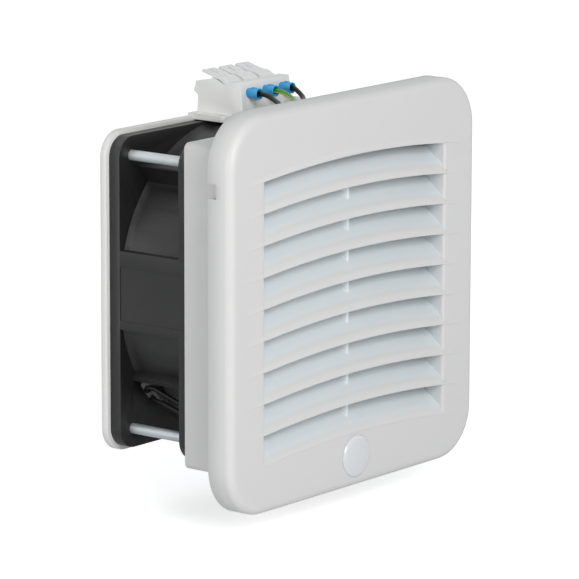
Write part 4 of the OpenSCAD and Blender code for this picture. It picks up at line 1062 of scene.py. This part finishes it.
class FILTERFAN_OT_fan_frame(bpy.types.Operator):
    """Black frame of the axial fan, with its lead grommet"""

    bl_idname = "filter_fan.fan_frame"
    bl_label = "Fan frame"

    def execute(self, context):
        c = context.scene.filter_fan_colours
        black = plastic(
            "Black fan paint", c.fan, rough=0.42, grain=700.0, tone=0.5, bump=0.5, dust=0.06,
            dust_rgb=(0.12, 0.12, 0.12))
        # the rounded edge strips take a lighter grey: a painted highlight along the bevels, partly worn paint
        edge_highlight_and_wear = plastic(
            "Painted edge highlight and worn paint", (0.11, 0.11, 0.112), rough=0.35, grain=900.0, tone=0.4, bump=0.2, dust=0.10,
            dust_rgb=(0.2, 0.2, 0.2))
        piece = rounded_copy("fan_frame", "fan_frame_rounded", 0.3, edge_slot=1)
        place(piece, "base", black, "fan_frame", slot="fan_black")
        piece.data.materials.append(edge_highlight_and_wear)
        dress("lead_grommet", plastic("Grommet grey", (0.17, 0.165, 0.17), rough=0.35, grain=1500.0))
        dress("outlet_guard", plastic("Guard plastic", (0.10, 0.10, 0.105), rough=0.5, grain=1300.0))
        return {"FINISHED"}


class FILTERFAN_OT_impeller(bpy.types.Operator):
    """Impeller with its twisted blades"""

    bl_idname = "filter_fan.impeller"
    bl_label = "Impeller"

    def execute(self, context):
        c = context.scene.filter_fan_colours
        black = plastic(
            "Black impeller plastic", c.blade, rough=0.33, grain=1300.0, tone=0.2, bump=0.12, dust=0.04,
            dust_rgb=(0.12, 0.12, 0.12))
        dress("impeller", black)
        return {"FINISHED"}


class FILTERFAN_OT_motor(bpy.types.Operator):
    """Rotor, bearings and wound stator"""

    bl_idname = "filter_fan.motor"
    bl_label = "Motor"

    def execute(self, context):
        c = context.scene.filter_fan_colours
        steel = metal("Bearing steel", (0.60, 0.60, 0.61), 0.22)
        for node in ("bearing_outer_rings", "bearing_inner_rings", "preload_washer", "rotor_shaft"):
            dress(node, steel)
        dress("rotor_can", metal("Rotor steel", (0.42, 0.42, 0.43), 0.38, (3000.0, 200.0, 3000.0)))
        dress("rotor_ring", metal("Rotor core", (0.30, 0.30, 0.31), 0.5, (200.0, 4000.0, 200.0)))
        dress("shaft_circlip", metal("Spring steel", (0.16, 0.16, 0.17), 0.35))
        dress("bearing_tube", metal("Brass tube", c.brass, 0.35, (3000.0, 300.0, 3000.0)))
        stack = metal("Lamination stack", (0.26, 0.27, 0.28), 0.45, (60.0, 9000.0, 60.0), bump=0.6)
        dress("stator_core", stack)
        dress("stator_bobbins", plastic("Bobbin plastic", (0.62, 0.62, 0.56), rough=0.5))
        dress("shading_rings", metal("Bright copper", c.copper, 0.3))
        dress("stator_coils", wound_wire(c.copper))
        return {"FINISHED"}


class FILTERFAN_OT_rear_frame(bpy.types.Operator):
    """Rear frame that clamps the fan and carries the terminal block"""

    bl_idname = "filter_fan.rear_frame"
    bl_label = "Rear frame"

    def execute(self, context):
        c = context.scene.filter_fan_colours
        # painted light: the rear frame's plastic is painted lighter for the extra light that falls on it
        grey = frame_plastic("Rear plastic painted lighter", c.rear)
        piece = rounded_copy("rear_frame", "rear_frame_rounded", 0.45)
        place(piece, "base", grey, "rear_frame", slot="frame_plastic")
        return {"FINISHED"}


class FILTERFAN_OT_fasteners(bpy.types.Operator):
    """Screws, washers, nuts and the earth tab"""

    bl_idname = "filter_fan.fasteners"
    bl_label = "Fasteners"

    def execute(self, context):
        c = context.scene.filter_fan_colours
        zinc = metal("Zinc-plated steel", c.steel, 0.5, (600.0, 600.0, 600.0), metallic=0.55)
        piece = rounded_copy("fan_screws", "fan_screws_rounded", 0.25, segments=3)
        place(piece, "base", zinc, "fan_screws", slot="zinc_steel")
        for node in ("screw_washers", "fan_nuts"):
            dress(node, zinc)
        dress("earth_tab", metal("Tinned brass", (0.62, 0.60, 0.52), 0.32))
        return {"FINISHED"}


class FILTERFAN_OT_terminals(bpy.types.Operator):
    """Terminal block with its levers, springs and contact bars"""

    bl_idname = "filter_fan.terminals"
    bl_label = "Terminal block"

    def execute(self, context):
        c = context.scene.filter_fan_colours
        white = plastic(
            "White terminal plastic", c.block, rough=0.38, grain=1500.0, tone=0.03, bump=0.08, dust=0.06)
        block = rounded_copy("terminal_block", "terminal_block_rounded", 0.3, cut_at=45.7, change=raise_front)
        place(block, "base", white, "terminal_block", slot="block_white")
        clear = plastic(
            "Milky lever plastic", (0.87, 0.885, 0.88), rough=0.25, grain=900.0, tone=0.03, bump=0.03,
            dust=0.04, Transmission_Weight=0.15, IOR=1.49)
        for k in (1, 2, 3):
            place(lever_piece(k), f"lever_{k}", clear, f"terminal_lever_{k}", slot="lever_clear")
        dress("contact_bars", metal("Contact copper", c.copper, 0.35))
        dress("clamp_springs", metal("Clamp spring steel", (0.5, 0.5, 0.51), 0.3))
        return {"FINISHED"}


class FILTERFAN_OT_wires(bpy.types.Operator):
    """Leads, earth wire and their ferrules"""

    bl_idname = "filter_fan.wires"
    bl_label = "Wires and ferrules"

    def execute(self, context):
        c = context.scene.filter_fan_colours
        black = plastic(
            "Black wire sheath", c.lead, rough=0.4, grain=700.0, tone=0.2, bump=0.06, dust=0.0,
            Specular_IOR_Level=0.22)
        for node, route in (("fan_lead_1", LEAD_ROUTE_1), ("fan_lead_2", LEAD_ROUTE_2)):
            place(tube(f"{node}_smooth", route, WIRE_RADIUS), "base", black, node, slot="wire_black")
        striped = striped_sheath(c.earth_green, c.earth_yellow)
        earth = tube("earth_wire_smooth", EARTH_ROUTE, WIRE_RADIUS)
        place(earth, "base", striped, "earth_wire", slot="wire_green_yellow")
        blue = plastic(
            "Blue ferrule plastic", c.collar, rough=0.3, grain=1100.0, tone=0.06, bump=0.05, dust=0.03)
        place(ferrule_piece(), "base", blue, "ferrules", slot="ferrule_blue")
        dress("ferrule_sleeves", metal("Tinned copper", (0.66, 0.65, 0.62), 0.3))
        return {"FINISHED"}


class FILTERFAN_PT_panel(bpy.types.Panel):
    """Lists the steps of the filter fan in the sidebar"""

    bl_idname = "FILTERFAN_PT_panel"
    bl_label = "Filter fan"
    bl_space_type = "VIEW_3D"
    bl_region_type = "UI"
    bl_category = "Filter fan"

    def draw(self, context):
        for operator in OPERATORS:
            self.layout.operator(operator.bl_idname)
        scene = context.scene
        for group in (scene.filter_fan_cover, scene.filter_fan_colours, scene.filter_fan_stage):
            for name in group.bl_rna.properties.keys():
                if name not in ("rna_type", "name"):
                    self.layout.prop(group, name)


OPERATORS = (
    FILTERFAN_OT_stage, FILTERFAN_OT_front_cover, FILTERFAN_OT_badge, FILTERFAN_OT_base_frame,
    FILTERFAN_OT_filter_mat, FILTERFAN_OT_fan_frame, FILTERFAN_OT_impeller, FILTERFAN_OT_motor,
    FILTERFAN_OT_rear_frame, FILTERFAN_OT_fasteners, FILTERFAN_OT_terminals, FILTERFAN_OT_wires,
)
CLASSES = (CoverSizes, FinishColours, StageSizes, *OPERATORS, FILTERFAN_PT_panel)


def register():
    """Registers the classes and gives each scene their settings."""
    for cls in CLASSES:
        bpy.utils.register_class(cls)
    bpy.types.Scene.filter_fan_cover = PointerProperty(type=CoverSizes)
    bpy.types.Scene.filter_fan_colours = PointerProperty(type=FinishColours)
    bpy.types.Scene.filter_fan_stage = PointerProperty(type=StageSizes)


def unregister():
    """Takes the settings and the classes away again."""
    del bpy.types.Scene.filter_fan_stage
    del bpy.types.Scene.filter_fan_colours
    del bpy.types.Scene.filter_fan_cover
    for cls in reversed(CLASSES):
        bpy.utils.unregister_class(cls)


def main():
    """Runs every operator in order."""
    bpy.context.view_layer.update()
    register()
    ops = bpy.ops.filter_fan
    ops.stage()
    ops.front_cover()
    ops.badge()
    ops.base_frame()
    ops.filter_mat()
    ops.fan_frame()
    ops.impeller()
    ops.motor()
    ops.rear_frame()
    ops.fasteners()
    ops.terminals()
    ops.wires()


if __name__ == "__main__":
    main()
